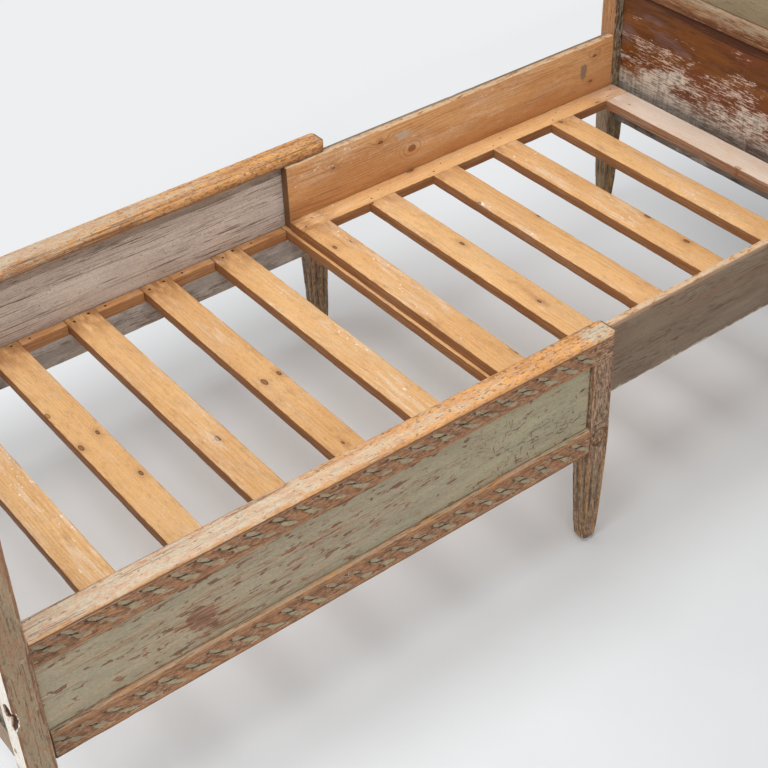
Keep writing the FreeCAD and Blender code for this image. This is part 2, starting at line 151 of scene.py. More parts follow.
BOLT_HOLE = Vector((-954.5 * mm, -413 * mm, 328 * mm))  # an old bolt hole, broken out at the corner
BOLT_HOLE_SIZE = Vector((12 * mm, 15 * mm, 26 * mm))
BOLT_HOLE_INWARD = Vector((13 * mm, 5 * mm, 0.0))
BOLT_HOLE_STEP = 3 * mm
BOLT_HOLE_ROUGH = 0.15
BOLT_HOLE_CELLS = 160.0      # of its roughness, to the metre
GLIDE_RINGS = ((7.0, 0.0), (8.4, 0.4), (9.0, 1.4), (9.0, 2.4), (7.6, 3.2))  # radius and height in mm
GLIDE_SIDES = 24

# Slats and nails
SLAT_COUNT = 6
LAP_CLEAR = 0.3 * mm
SPACER_CLEAR = 0.4 * mm
NAIL_RADIUS = 3.0 * mm       # of the foot half
BRAD_RADIUS = 1.8 * mm       # of the head half
NAIL_HEIGHT = 0.5 * mm
NAIL_TILT = 0.12             # in radians
FLUSH_HEIGHT = 0.12 * mm     # of the nails under the sliding boards
FLUSH_TILT = 0.012
NAIL_SIDES = 9
NAIL_TAPER = 0.7             # radius of the top of a head to that of its foot
NAIL_SIZES = (0.75, 1.15)
NAIL_TURN = 6.28             # in radians
NAIL_STRAY = 8 * mm
SLAT_NAILS = (0.26, 0.74)    # shares of a slat's width
SPACER_NAIL = 0.24           # share of a spacer's length
LEDGER_NAILS = (0.2, 0.66)   # shares of the width of the slat under the ledger
SLAT_NAIL_INSET = 7 * mm     # from the middle line of the spacers
LEDGER_NAIL_INSET = 12 * mm  # from the middle line of the ledger
LEDGER_NAIL_OUTSET = 6 * mm

# Pegs
PEG_RADIUS = 4.0 * mm
PEG_LENGTH = 18 * mm
PEG_PROUD = 0.8 * mm
PEG_DOME = 0.7 * mm
PEG_SIDES = 8
PEG_TAPER = 0.9              # radius of a peg's hidden end to that of its domed one
PEG_IN_END_TENON = 12.5 * mm     # inner face of the post to the middle of the peg
PEG_IN_SIDE_TENON = 11.5 * mm
PEG_IN_MID_TENON = 12 * mm
PEG_FROM_BOARD_MIDDLE = 33 * mm


def tone(*parts):
    """A colour of the photograph's scale, 0 to 255, as the renderer's linear colour."""
    shares = [part / 255.0 for part in parts]
    return tuple(s / 12.92 if s < 0.04045 else ((s + 0.055) / 1.055) ** 2.4 for s in shares) + (1.0,)


PINE_LIGHT = tone(239, 193, 136)
PINE_MID = tone(222, 168, 110)
PINE_DARK = tone(150, 96, 54)
PINE_DULL = tone(216, 180, 142)
PINE_SCUFFED = tone(242, 222, 198)
SPACER_LIGHT = tone(210, 154, 102)
SPACER_MID = tone(186, 130, 82)
KNOT_BROWN = tone(134, 78, 44)
# the dark rim of a knot, also used as painted shade on the slat sides
KNOT_RIM_AND_SHADE = tone(70, 38, 22)
BLEACHED_LIGHT = tone(234, 222, 210)
BLEACHED_MID = tone(212, 190, 171)
BOARD_LIGHT = tone(232, 180, 124)
BOARD_MID = tone(200, 138, 86)
BOARD_PAINT = tone(140, 124, 104)
BOARD_DEEP = tone(120, 98, 80)
OLD_WOOD = tone(164, 116, 84)
OLD_WOOD_DARK = tone(98, 68, 48)
GOLD_WOOD = tone(204, 146, 80)
WORN_WOOD = tone(230, 171, 104)
WORN_BROWN = tone(188, 126, 74)
WORN_PALE = tone(208, 194, 170)
ROSY_WOOD = tone(204, 160, 130)
PALE_GREEN = tone(196, 194, 172)
RUBBED = tone(166, 124, 94)
RUBBED_PALE = tone(190, 158, 130)
GREY_GREEN = tone(172, 163, 137)
GREY_GREEN_DEEP = tone(152, 145, 121)
GREY_GREEN_PALE = tone(184, 174, 141)
RED_WOOD = tone(162, 108, 78)
BALD_BROWN = tone(120, 76, 55)
END_GREEN = tone(158, 147, 119)
END_GREEN_DEEP = tone(142, 130, 104)
HOLLOW_GREY = tone(163, 150, 121)
HOLLOW_GREEN = tone(177, 165, 132)
POST_PAINT = tone(164, 148, 121)
POST_DEEP = tone(142, 124, 98)
POST_TAN = tone(196, 140, 92)
POST_OLIVE = tone(112, 90, 56)
LILAC_GREY = tone(226, 214, 203)
LILAC_DEEP = tone(200, 186, 175)
WHITE_LIME = tone(250, 243, 232)
LIME_PINK = tone(214, 190, 174)
LIME_PALE = tone(214, 204, 190)
LIME_GREY = tone(192, 182, 168)
STAIN_BROWN = tone(98, 55, 26)
STAIN_GOLD = tone(130, 78, 32)
STAIN_RED = tone(116, 62, 36)
STAIN_DARK = tone(64, 36, 22)
STAIN_MAUVE = tone(134, 110, 108)
STAIN_GREY = tone(134, 124, 114)
WEATHERED = tone(120, 110, 101)
# dirt, also used as painted shade in the cuts of the carving, the bottoms of the flutes and along the rails'
# lower edges
DIRT_AND_SHADE = tone(48, 36, 27)
IRON = tone(50, 38, 30)
GLIDE_PALE = tone(246, 243, 236)
FLOOR_PALE = tone(245, 249, 252)
FLOOR_SHADED = tone(196, 197, 198)
FLOOR_FAR = tone(238, 239, 241)


# Node trees

def math_node(operation, turned=False):
    """A method of Field that adds a Math node. turned puts the field last."""
    def method(field, *others):
        values = (*others, field) if turned else (field, *others)
        return field.tree.add("ShaderNodeMath", {"operation": operation}, dict(enumerate(values)))
    return method


class Field:
    """A socket of a node tree. Arithmetic on it adds Math nodes."""

    def __init__(self, tree, socket):
        self.tree = tree
        self.socket = socket

    __add__ = __radd__ = math_node("ADD")
    __sub__ = math_node("SUBTRACT")
    __rsub__ = math_node("SUBTRACT", True)
    __mul__ = __rmul__ = math_node("MULTIPLY")
    __truediv__ = math_node("DIVIDE")
    __pow__ = math_node("POWER")
    __abs__ = math_node("ABSOLUTE")
    sine = math_node("SINE")
    fraction = math_node("FRACT")
    square_root = math_node("SQRT")
    least = math_node("MINIMUM")
    most = math_node("MAXIMUM")

    def away(self, other):
        """The distance from 0 of a point with these two coordinates."""
        return (self * self + other * other).most(0.0).square_root()

    def rise(self, low, high):
        """0 below low and 1 above high, smooth between."""
        ranged = {"Value": self, "From Min": low, "From Max": high}
        return self.tree.add("ShaderNodeMapRange", {"interpolation_type": "SMOOTHSTEP"}, ranged)

    def fall(self, low, high):
        return 1.0 - self.rise(low, high)

    def between(self, start, full, last, stop):
        return self.rise(start, full) * self.fall(last, stop)

    def parts(self):
        """The three numbers of a vector."""
        split = self.tree.add("ShaderNodeSeparateXYZ", {}, {"Vector": self}).socket.node
        return [Field(self.tree, out) for out in split.outputs]


class Tree:
    """Adds nodes to a node tree."""

    def __init__(self, nodes):
        self.nodes = nodes

    def add(self, kind, settings, sockets, out=0):
        node = self.nodes.nodes.new(kind)
        for key, value in settings.items():
            setattr(node, key, value)
        for key, value in sockets.items():
            if isinstance(value, Field):
                self.nodes.links.new(value.socket, node.inputs[key])
            else:
                node.inputs[key].default_value = value
        return Field(self, node.outputs[out])

    def vector(self, x, y, z):
        return self.add("ShaderNodeCombineXYZ", {}, {"X": x, "Y": y, "Z": z})

    def vector_math(self, operation, *values):
        return self.add("ShaderNodeVectorMath", {"operation": operation}, dict(enumerate(values)))


class Finish(Tree):
    """A wood or paint material. Its patterns follow spot: the place along, across and into the grain in
    metres. x, y and z are the place in the bed, and look is where a face looks."""

    def __init__(self, name):
        self.material = bpy.data.materials.new(name)
        self.material.use_nodes = True
        super().__init__(self.material.node_tree)
        self.shader = self.nodes.nodes["Principled BSDF"]
        self.seed = self.kept("seed")
        self.local = self.kept("local", "Vector")
        self.half = self.kept("half", "Vector")
        shift = self.vector(self.seed * 37.0, self.seed * 13.0, self.seed * 7.0)
        self.spot = self.vector_math("ADD", self.local, shift)
        self.place = self.add("ShaderNodeTexCoord", {}, {}, "Object")
        self.x, self.y, self.z = self.place.parts()
        self.look = self.add("ShaderNodeTexCoord", {}, {}, "Normal").parts()

    def kept(self, name, out="Fac"):
        """A value that is stored on the points of the piece."""
        return self.add("ShaderNodeAttribute", {"attribute_name": name}, {}, out)

    def edge(self):
        """Distance in metres from the nearest edge of the piece."""
        a, b, c = self.vector_math("SUBTRACT", self.half, self.vector_math("ABSOLUTE", self.local)).parts()
        return a.least(b).most(a.most(b).least(c))

    def outside(self):
        """1 on faces that look away from the middle of the bed, across it."""
        return (self.y * self.look[Y]).rise(0.0, 0.05)

    def end_outside(self):
        """1 on faces that look away from the middle of the bed, along it."""
        return (self.x * self.look[X]).rise(0.3, 0.6)

    def off_mark(self, mark):
        """How far along and up from a mark, 1 at its ends."""
        x, z, half_x, half_z = mark
        return (self.x - x) / half_x, (self.z - z) / half_z

    def oval(self, mark):
        along, up = self.off_mark(mark)
        return along.away(up)

    def cloud(self, along, across, detail=3, rough=0.55, spot=None):
        """Noise from 0 to 1, with its scale along the grain and across it in cells for each metre."""
        scaled = self.vector_math("MULTIPLY", spot or self.spot, (along, across, across))
        return self.add(
            "ShaderNodeTexNoise", {"noise_dimensions": "3D"},
            {"Vector": scaled, "Scale": 1.0, "Detail": detail, "Roughness": rough}, "Fac")

    def lines(self, along, across, width):
        """Thin wandering cracks, 1 on a line. A larger width makes them broader."""
        return abs(self.cloud(along, across, 2) - 0.5).fall(width * 0.4, width)

    def mixed(self, factor, first, second):
        return self.add(
            "ShaderNodeMix", {"data_type": "RGBA"}, {"Factor": factor, 6: first, 7: second}, 2)

    def layered(self, colour, *layers):
        """The colour with others laid over it in order, each as strong as its mask."""
        for mask, over in layers:
            colour = self.mixed(mask, colour, over)
        return colour

    def done(self, colour, roughness, height, depth, speckle=0.9):
        """Joins the values to the shader, with fine weathering along the grain over the colour."""
        fine = (self.cloud(170, 560, 3, 0.7) - 0.5) * speckle + 1.0
        colour = self.vector_math("MULTIPLY", colour, self.vector(fine, fine, fine))
        bump = self.add("ShaderNodeBump", {}, {"Height": height, "Distance": depth, "Strength": 1.0})
        for name, value in (("Base Color", colour), ("Roughness", roughness), ("Normal", bump)):
            self.nodes.links.new(value.socket, self.shader.inputs[name])
        self.shader.inputs["Specular IOR Level"].default_value = 0.3
        return self.material


# Wood

def ring_lines(finish, spot, pitch):
    """Growth rings of a log whose heart lies below the board: 0 in the pale wood, 1 in the dark lines."""
    _, across, into = spot.parts()
    wander = finish.cloud(1.6, 9, 2, spot=spot) - 0.5
    sway = finish.cloud(5, 40, 2, spot=spot) - 0.5
    off_heart = across + wander * (60 * mm)
    radius = off_heart.away(into + HEART_BELOW + wander * (40 * mm)) + sway * (3.5 * mm)
    return (radius / pitch).fraction().between(0.3, 0.88, 0.88, 1.0)


def knots(finish, often):
    """Masks of the knots in a board: the wood bent round a knot, the knot, and its dark rim."""
    cells = {"Vector": finish.vector_math("MULTIPLY", finish.spot, (8.5, 17.0, 1.0)), "Scale": 1.0}
    flat = {"voronoi_dimensions": "2D"}
    gap = finish.add("ShaderNodeTexVoronoi", flat, cells, "Distance")
    pick = finish.add("ShaderNodeTexVoronoi", flat, cells, "Color").parts()
    chosen = pick[0].rise(1.0 - often, 1.01 - often)
    ragged = gap + (finish.cloud(110, 240, 2) - 0.5) * 0.03
    past = ragged - (pick[1] * 0.05 + 0.03)
    knot = past.fall(-0.008, 0.008) * chosen
    return ragged.fall(0.03, 0.32) * chosen, knot, knot * past.rise(-0.03, -0.008)


def pine(finish, light, mid, dark, often, lines=0.15):
    """Colour of planed pine, and the height of its grain."""
    cloud = finish.cloud
    bend, knot, rim = knots(finish, often)
    bent = finish.vector_math("ADD", finish.spot, finish.vector(0.0, bend * (7 * mm), bend * (12 * mm)))
    rings = ring_lines(finish, bent, PINE_RING)
    shown = cloud(3, 10, 2).rise(0.36, 0.64)
    fibre = cloud(14, 560, 2)
    blotch = cloud(4.5, 24, 4, 0.6)
    scuffs = cloud(40, 130, 6, 0.74)
    grime = cloud(14, 34, 5, 0.66)
    dull = cloud(6, 26, 5, 0.66).rise(0.48, 0.66)
    tint = (finish.seed * 91.0).fraction()
    colour = finish.layered(
        light,
        (blotch.rise(0.26, 0.74) * 0.6 + tint * 0.4, mid),
        (dull * 0.4, PINE_DULL),
        (rings * shown * lines + bend * bend * 0.35, dark),
        (fibre.rise(0.46, 0.74) * 0.2, dark),
        (scuffs.rise(0.54, 0.64) * (dull * 0.3 + 0.08), PINE_SCUFFED),
        (scuffs.fall(0.36, 0.45) * 0.25, dark),
        (grime.rise(0.54, 0.74) * 0.35, dark),
        (knot * 0.75, KNOT_BROWN),
        (rim * 0.8, KNOT_RIM_AND_SHADE))
    return colour, rings * 0.4 + fibre * 0.5 + knot * 0.3


def old_wood(finish):
    """Colour of the old brown wood under the paint, and its height."""
    rings = ring_lines(finish, finish.spot, OLD_RING)
    fibre = finish.cloud(16, 480)
    blotch = finish.cloud(12, 70, 4, 0.62)
    colour = finish.layered(
        OLD_WOOD,
        (blotch.rise(0.36, 0.74) * 0.8, OLD_WOOD_DARK),
        (rings * 0.25 + fibre.rise(0.48, 0.8) * 0.4, OLD_WOOD_DARK))
    return colour, fibre * 0.7 + rings * 0.4


def drips(finish, colour, amount):
    """White paint spilt on the wood: drops, and rubbed smears round them."""
    cloud = finish.cloud
    patches = cloud(3.4, 14, 2).rise(0.53, 0.64)
    splashes = cloud(52, 78, 1).rise(0.735, 0.755)
    drops = cloud(120, 170, 1).rise(0.70, 0.73).most(splashes) * patches
    specks = cloud(320, 420, 1).rise(0.75, 0.78)
    smears = cloud(12, 110, 5, 0.7).rise(0.46, 0.6) * patches
    return finish.layered(
        colour,
        (smears * (amount * 0.45), PINE_SCUFFED),
        (drops.most(specks * 0.6) * (amount * 0.8), WHITE_LIME))


def slat_pine(name, light, mid, dark, side_dark_and_shade, spilt):
    """Slats, spacers and ledgers: golden on top, dark on their sides and ends. The dark sides are partly the
    wood's own colour and partly painted shade, deeper towards the head end.
    """
    finish = Finish(name)
    colour, height = pine(finish, light, mid, dark, 0.3)
    side = abs(finish.look[Z]).fall(0.25, 0.75)
    streaks = finish.cloud(9, 260, 3, 0.6).rise(0.35, 0.7)
    worn = finish.edge().fall(0.4 * mm, 3.2 * mm) * finish.cloud(40, 200).rise(0.4, 0.6)
    from_end = finish.half.parts()[0] - abs(finish.local.parts()[0])
    handled = from_end.fall(0.0, 0.13) * finish.cloud(26, 70, 4).rise(0.3, 0.64)
    at_head = finish.x.rise(0.81, 0.87) * (1.0 - side)
    colour = finish.layered(
        drips(finish, colour, spilt),
        # sides darker: partly the wood's own darker sides, partly painted shade
        (side * (streaks * 0.4 + side_dark_and_shade), PINE_DARK),
        # painted shade: the sides darker still towards the head end
        (side * finish.x.rise(0.05, 0.7) * 0.22, KNOT_RIM_AND_SHADE),
        (worn * 0.6, PINE_DARK),
        (handled * 0.75, PINE_DARK),
        (at_head * (streaks * 0.2 + 0.3), BLEACHED_MID))
    return finish.done(colour, height * 0.2 + 0.6, height, 0.3 * mm, 0.5)


# Paint

def flaked(finish, paint, deep, bare, amount, lined=1.0, flake=(28, 210)):
    """Paint worn thin and flaked off along the grain: its colour, the mask of what is left and its height."""
    cloud = finish.cloud
    scratches = cloud(9, 480, 3, 0.6)
    flakes = cloud(*flake, 6, 0.74)
    tint = cloud(7, 34, 4, 0.6)
    lost = flakes * 0.62 + scratches * 0.38 + (cloud(2.6, 12, 2) - 0.5) * 0.3 + amount
    left = lost.fall(0.592, 0.622)
    patches = cloud(5, 22, 2).rise(0.4, 0.54)
    ticks = cloud(34, 420, 2).rise(0.61, 0.65)
    cracks = finish.lines(5, 120, 0.022) * flakes.rise(0.42, 0.5)
    dark = ticks.most(cracks) * patches * lined
    coat = finish.layered(paint, (tint.rise(0.3, 0.7) * 0.7, deep), (lost.rise(0.49, 0.61) * 0.45, RUBBED))
    colour = finish.layered(bare, (left * 0.94, coat), (dark * 0.8, OLD_WOOD_DARK))
    return colour, left, left * 0.7 - dark * 0.5 + scratches * 0.25


def crackled_paint(finish):
    """Colour of old paint crazed into small brown and pale cells."""
    return finish.mixed(finish.cloud(90, 330, 5, 0.74).rise(0.46, 0.56), OLD_WOOD_DARK, RUBBED_PALE)


def side_panel_paint():
    """Side panels: grey-green outside, flaked towards the foot, crackled at the other end, greyed inside."""
    finish = Finish("side_panel_paint")
    cloud, lines, x = finish.cloud, finish.lines, finish.x
    bare, bare_height = old_wood(finish)
    across = finish.local.parts()[1]
    height = finish.half.parts()[1]
    streaks = cloud(12, 260, 3, 0.6)
    chunks = cloud(30, 80, 3, 0.62)
    bald_x, bald_z = finish.off_mark(BALD_PATCH)
    bald = abs(bald_x).most(abs(bald_z + bald_x * 0.3)) + (streaks - 0.5) * 2.6 + (chunks - 0.5) * 2.4
    bald = bald.fall(0.85, 0.95) * finish.y.fall(-0.2, 0.0)
    under_rail = (height - across).fall(1 * mm, 16 * mm) * 0.1
    toward_foot = x.fall(-0.75, 0.05) * (x.rise(-0.88, -0.72) * 0.05 + 0.025)
    amount = under_rail + toward_foot - 0.05
    lined = x.fall(-0.7, -0.3) * 0.45 + 0.35
    paint = finish.mixed(x.rise(-0.4, 0.0) * 0.6, GREY_GREEN, GREY_GREEN_PALE)
    colour, left, paint_height = flaked(finish, paint, GREY_GREEN_DEEP, bare, amount, lined, (22, 140))
    beige = cloud(3.5, 120, 5, 0.68).rise(0.48, 0.62) * (x.fall(-0.5, 0.2) * 0.3 + 0.1)
    islands = (chunks + (streaks - 0.5) * 0.12 + amount * 0.6).rise(0.605, 0.62).most(bald)
    reddish = finish.layered(
        RED_WOOD, (streaks.rise(0.36, 0.56), BALD_BROWN), (lines(9, 170, 0.05) * 0.7, OLD_WOOD_DARK))
    cuts = cloud(300, 60, 1).rise(0.66, 0.68)
    chips = cloud(80, 150, 3, 0.65).rise(0.66, 0.675)
    ticks = cloud(60, 300, 1).rise(0.65, 0.67)
    crackled = x.rise(-0.3, 0.0) * cloud(8, 22, 2).rise(0.44, 0.58)
    cuts = cuts.most(chips).most(ticks) * crackled
    colour = finish.layered(
        colour,
        (beige, RUBBED_PALE),
        (islands * (streaks.rise(0.3, 0.45) * 0.35 + 0.5), reddish),
        (cuts * 0.85, OLD_WOOD_DARK))
    cracks = lines(1.6, 150, 0.024) * streaks.rise(0.42, 0.54)
    cracks = cracks.most(cloud(150, 330, 2).rise(0.68, 0.71))
    worn = cloud(4, 40, 5, 0.66).rise(0.52, 0.7)
    soil = (height + across).fall(0.0, 30 * mm) * cloud(9, 60, 4).rise(0.35, 0.65)
    aged = finish.layered(
        flaked(finish, LILAC_GREY, LILAC_DEEP, bare, -0.14, 0.4)[0],
        (worn * 0.15, STAIN_GREY),
        ((cracks * 0.85).most(soil * 0.6), OLD_WOOD_DARK))
    colour = finish.mixed(finish.outside(), aged, colour)
    grooves = cuts.most(cracks * 0.5) * 0.5
    surface = paint_height - grooves + bare_height * (1.0 - left) * 0.5
    return finish.done(colour, 0.7 - left * 0.12, surface, 0.5 * mm)


def end_panel_paint():
    """Upper panels of the head and foot boards: grey-green on both sides."""
    finish = Finish("end_panel_paint")
    bare, bare_height = old_wood(finish)
    rub = finish.edge().fall(1 * mm, 14 * mm) * 0.08
    colour, left, height = flaked(finish, END_GREEN, END_GREEN_DEEP, bare, rub - 0.06)
    return finish.done(colour, 0.7 - left * 0.12, height + bare_height * (1.0 - left) * 0.5, 0.5 * mm)


def worn_top(finish):
    """Colour and height of the top rails' upper sides: pale paint in the middle, golden wood at the edges."""
    cloud, lines, x = finish.cloud, finish.lines, finish.x
    blotch = cloud(12, 60, 5, 0.62)
    fibre = cloud(13, 420)
    rosy = cloud(36, 90, 6, 0.76)
    inward = HALF_WIDTH - abs(finish.y)
    middle = inward.between(3 * mm, 12 * mm, 27 * mm, 36 * mm)
    at_nose = inward.rise(30 * mm, 40 * mm)
    at_foot = x.fall(-0.8, -0.05)
    at_end = x.rise(0.08, 0.1) * finish.y.fall(-0.2, 0.0)
    kept = middle * 0.13 + at_foot * 0.19 - x.rise(-0.15, 0.0) * 0.14 + at_end * 0.26 - 0.12
    remains = (cloud(34, 110, 6, 0.76) + kept).rise(0.46, 0.56)
    pits = cloud(110, 260, 4, 0.7) + x.rise(-0.5, 0.1) * 0.055
    cracks = lines(3.5, 120, 0.022) * blotch.rise(0.5, 0.6)
    flecks = (pits + at_nose * 0.03).rise(0.61, 0.66).most(cracks)
    edge = finish.edge().fall(0.6 * mm, 7 * mm) * cloud(20, 90).rise(0.35, 0.6)
    seams = lines(1.2, 95, 0.03) * cloud(6, 60).rise(0.42, 0.54)
    colour = finish.layered(
        WORN_WOOD,
        (blotch.rise(0.32, 0.7), WORN_BROWN),
        (at_foot * 0.6, ROSY_WOOD),
        (remains * 0.8, finish.mixed(at_end, WORN_PALE, PALE_GREEN)),
        (x.between(-0.65, -0.25, 0.05, 0.1) * 0.25, WORN_WOOD),
        (rosy.rise(0.48, 0.58) * 0.65, ROSY_WOOD),
        (rosy.fall(0.4, 0.46) * x.fall(-0.3, 0.1) * 0.5, PALE_GREEN),
        (flecks * 0.6 + fibre.rise(0.52, 0.8) * 0.2, OLD_WOOD_DARK),
        (edge * 0.7, GOLD_WOOD),
        (seams * (at_nose * 0.6 + 0.05), OLD_WOOD_DARK),
        (at_nose * finish.z.fall(0.434, 0.439) * 0.5, OLD_WOOD_DARK),
        (abs(finish.look[X]).rise(0.5, 0.8) * 0.7, OLD_WOOD_DARK))
    return colour, fibre * 0.5 - flecks.most(seams) * 0.7


def carved_finish():
    """Carved side rails: brown on the ribbons, lighter where they are not cut with wear and painted
    highlight, paint in the hollows, dark cuts of dirt and painted shade, worn tops, grey inside.
    """
    finish = Finish("carved_rail")
    cloud, x, z = finish.cloud, finish.x, finish.z
    bare, bare_height = old_wood(finish)
    relief, pocket, cut = [finish.kept(name) for name in ("relief", "pocket", "cut")]
    up = finish.look[Z]
    out = finish.outside()
    low_rail = z.fall(*BOTTOM_RAILS)
    patchy = cloud(50, 120, 5, 0.66)
    crest = cloud(64, 240, 5, 0.7)
    paint = finish.mixed(cloud(30, 90, 4).rise(0.3, 0.7), HOLLOW_GREEN, HOLLOW_GREY)
    painted = (pocket * 0.55 + (patchy - 0.5) * 1.9 + 0.12).rise(0.35, 0.7)
    under_arris = z.between(*TOP_RAIL_ARRIS)
    edged = flaked(finish, GREY_GREEN, ROSY_WOOD, GOLD_WOOD, 0.05)[0]
    joint = x.fall(*BAND_JOINT) * low_rail
    lower_edge_dirt_and_shade = z.fall(*RAIL_LOWER_EDGE) * 0.7
    face = finish.layered(
        bare,
        (0.35, RUBBED),
        (crest.rise(0.48, 0.6) * 0.45, POST_TAN),
        (crest.fall(0.38, 0.5) * 0.5 + 0.08, OLD_WOOD_DARK),
        # lighter in patches where the surface is not cut: partly rubbed wear, partly painted highlight
        (relief.rise(0.8, 1.0) * crest.rise(0.3, 0.6) * 0.3, POST_TAN),
        (painted * 0.88, paint),
        (cut.between(0.06, 0.2, 0.2, 0.5) * crest.rise(0.48, 0.58) * 0.6, LIME_PALE),
        # dirt and painted shade in the cuts
        (cut * (patchy.rise(0.3, 0.5) * 0.4 + 0.55), DIRT_AND_SHADE),
        (under_arris * crest.rise(0.3, 0.5) * 0.6, OLD_WOOD_DARK),
        (up.rise(0.5, 0.65) * pocket.fall(0.2, 0.5) * low_rail, edged),
        (x.fall(-0.9, -0.78) * (patchy.rise(0.35, 0.6) * 0.2 + 0.15), DIRT_AND_SHADE),
        (x.rise(*PAST_BANDS) * (patchy.rise(0.4, 0.6) * 0.4 + 0.42), crackled_paint(finish)),
        # a dark line at the joint with the foot post, and dirt and painted shade along the lower edge
        (joint.most(lower_edge_dirt_and_shade) * 0.9, DIRT_AND_SHADE))
    soot = cloud(12, 30, 5, 0.68).rise(0.5, 0.66)
    aged = flaked(finish, LILAC_DEEP, STAIN_GREY, bare, -0.04)[0]
    aged = finish.mixed(soot * 0.6 + 0.2, aged, WEATHERED)
    top_colour, top_height = worn_top(finish)
    nose = z.rise(*NOSE_UNDERSIDE) * (1.0 - out)
    top = (up.rise(0.45, 0.75) * z.rise(*TOP_RAIL_TOP)).most(nose)
    colour = finish.layered(face, ((1.0 - out) * up.fall(0.3, 0.6), aged), (top, top_colour))
    surface = (bare_height + crest) * (1.0 - top) + top_height * top
    return finish.done(colour, 0.7 - top * 0.1, surface, 0.5 * mm)


def post_paint():
    """Posts and legs: grey-green over brown, greyed flutes darkened with dirt and painted shade, golden
    ridges and feet, the ridges partly painted highlight. The bed's outer ends are white, the head posts bare
    towards the bed and dark where they face each other."""
    finish = Finish("post_paint")
    cloud, x, z = finish.cloud, finish.x, finish.z
    bare, bare_height = old_wood(finish)
    relief = finish.kept("relief")
    mottle = cloud(46, 150, 5, 0.7)
    browned = cloud(14, 60, 5, 0.68)
    grained = cloud(8, 300).rise(0.35, 0.7)
    ridge = cloud(12, 90, 4, 0.64).rise(0.46, 0.62)
    rub = finish.edge().fall(0.5 * mm, 8 * mm) * cloud(30, 120).rise(0.3, 0.6)
    lit_edge = finish.edge().fall(0.3 * mm, 2.6 * mm) * cloud(24, 80).rise(0.42, 0.58)
    flecks = mottle.fall(0.36, 0.41).most(finish.lines(9, 120, 0.018) * mottle.rise(0.5, 0.56))
    upper_foot = x.fall(*FOOT_POSTS) * z.rise(0.3, 0.5)
    at_middle = x.between(*MID_POSTS)
    head = x.rise(*HEAD_POSTS)
    over_ledge = z.rise(*OVER_LEDGE)
    leg = z.fall(*LEGS)
    foot = z.fall(*FEET)
    above_leg = (1.0 - leg) * z.fall(0.42, 0.44)
    upward = z.rise(0.4, 0.6) * 0.06 + x.rise(-0.2, 0.0) * 0.05
    colour, left, height = flaked(finish, POST_PAINT, POST_DEEP, bare, rub * 0.2 + upward, 0.3)
    tan = finish.mixed(grained * 0.4 + flecks * 0.5, POST_TAN, OLD_WOOD_DARK)
    limed = finish.mixed(mottle.rise(0.44, 0.56), DIRT_AND_SHADE, LIME_GREY)
    olive = finish.layered(
        POST_OLIVE,
        (mottle.rise(0.5, 0.6) * 0.7, POST_PAINT),
        (flecks, DIRT_AND_SHADE),
        (over_ledge * (grained * 0.5 + 0.2), limed))
    flute = finish.mixed(mottle.rise(0.4, 0.6), HOLLOW_GREY, BOARD_DEEP)
    white = flaked(finish, WHITE_LIME, WHITE_LIME, bare, -0.16, 0.5)[0]
    colour = finish.layered(
        colour,
        (mottle.rise(0.54, 0.64) * 0.55, OLD_WOOD),
        (flecks * 0.35, OLD_WOOD_DARK),
        (upper_foot * browned.rise(0.44, 0.58) * 0.5, OLD_WOOD),
        (upper_foot * browned.fall(0.38, 0.44) * 0.6, OLD_WOOD_DARK),
        (at_middle * (mottle.rise(0.4, 0.6) * 0.4 + 0.42), crackled_paint(finish)),
        (finish.kept("pocket") * 0.4, OLD_WOOD_DARK),
        (lit_edge * 0.6, ROSY_WOOD),
        (head * finish.look[X].fall(-0.8, -0.4) * over_ledge * 0.85, tan),
        (head * (finish.y * finish.look[Y]).fall(-0.3, -0.1) * 0.9, olive),
        (leg * 0.15, OLD_WOOD_DARK),
        # golden in patches on the leg faces outside the flutes: partly worn wood, partly painted highlight
        (leg * ridge * relief.rise(0.8, 1.0) * (x.rise(*FOOT_POSTS) * 0.25 + 0.2), GOLD_WOOD),
        (foot * ridge * 0.6, GOLD_WOOD),
        (foot * mottle.rise(0.5, 0.58) * 0.7, DIRT_AND_SHADE),
        (leg * relief.fall(0.4, 0.95) * 0.55, flute),
        # dirt and painted shade in the bottoms of the flutes
        (leg * relief.fall(0.05, 0.4) * (mottle.rise(0.3, 0.6) * 0.35 + 0.15), DIRT_AND_SHADE),
        (finish.end_outside() * (1.0 - leg), white),
        (above_leg * relief.fall(0.4, 0.6) * 0.8, WORN_BROWN),
        (above_leg * relief.fall(0.1, 0.4) * 0.95, DIRT_AND_SHADE))
    return finish.done(colour, 0.7 - left * 0.1, height + bare_height * 0.5 - flecks * 0.5, 0.6 * mm)


def end_rail_paint():
    """Rails of the head and foot boards: streaked wood with little paint left inside, sooty grey low down."""
    finish = Finish("end_rail_paint")
    cloud, z = finish.cloud, finish.z
    bare, bare_height = old_wood(finish)
    streaks = cloud(6, 110, 4, 0.64)
    uneven = cloud(9, 30, 4, 0.66) - 0.5
    soot = cloud(16, 40, 5, 0.7)
    out = finish.end_outside()
    bare = finish.layered(
        bare,
        (streaks.rise(0.5, 0.64) * 0.3, GOLD_WOOD),
        (streaks.fall(0.36, 0.54) * 0.8, STAIN_BROWN),
        ((z + uneven * 0.1).fall(0.54, 0.56) * 0.5, STAIN_BROWN))
    over_panel = (z + uneven * 0.06).rise(0.545, 0.575) * 0.14
    colour, left, height = flaked(finish, GREY_GREEN_DEEP, RUBBED, bare, 0.17 - over_panel - out * 0.18)
    aged = finish.layered(
        flaked(finish, WEATHERED, STAIN_GREY, bare, -0.05)[0],
        (soot.rise(0.5, 0.62) * 0.75, DIRT_AND_SHADE),
        (soot.fall(0.34, 0.42) * 0.6, LIME_GREY))
    colour = finish.mixed(z.fall(0.3, 0.4) * (1.0 - out), colour, aged)
    return finish.done(colour, 0.7 - left * 0.12, height + bare_height * (1.0 - left) * 0.5, 0.5 * mm)


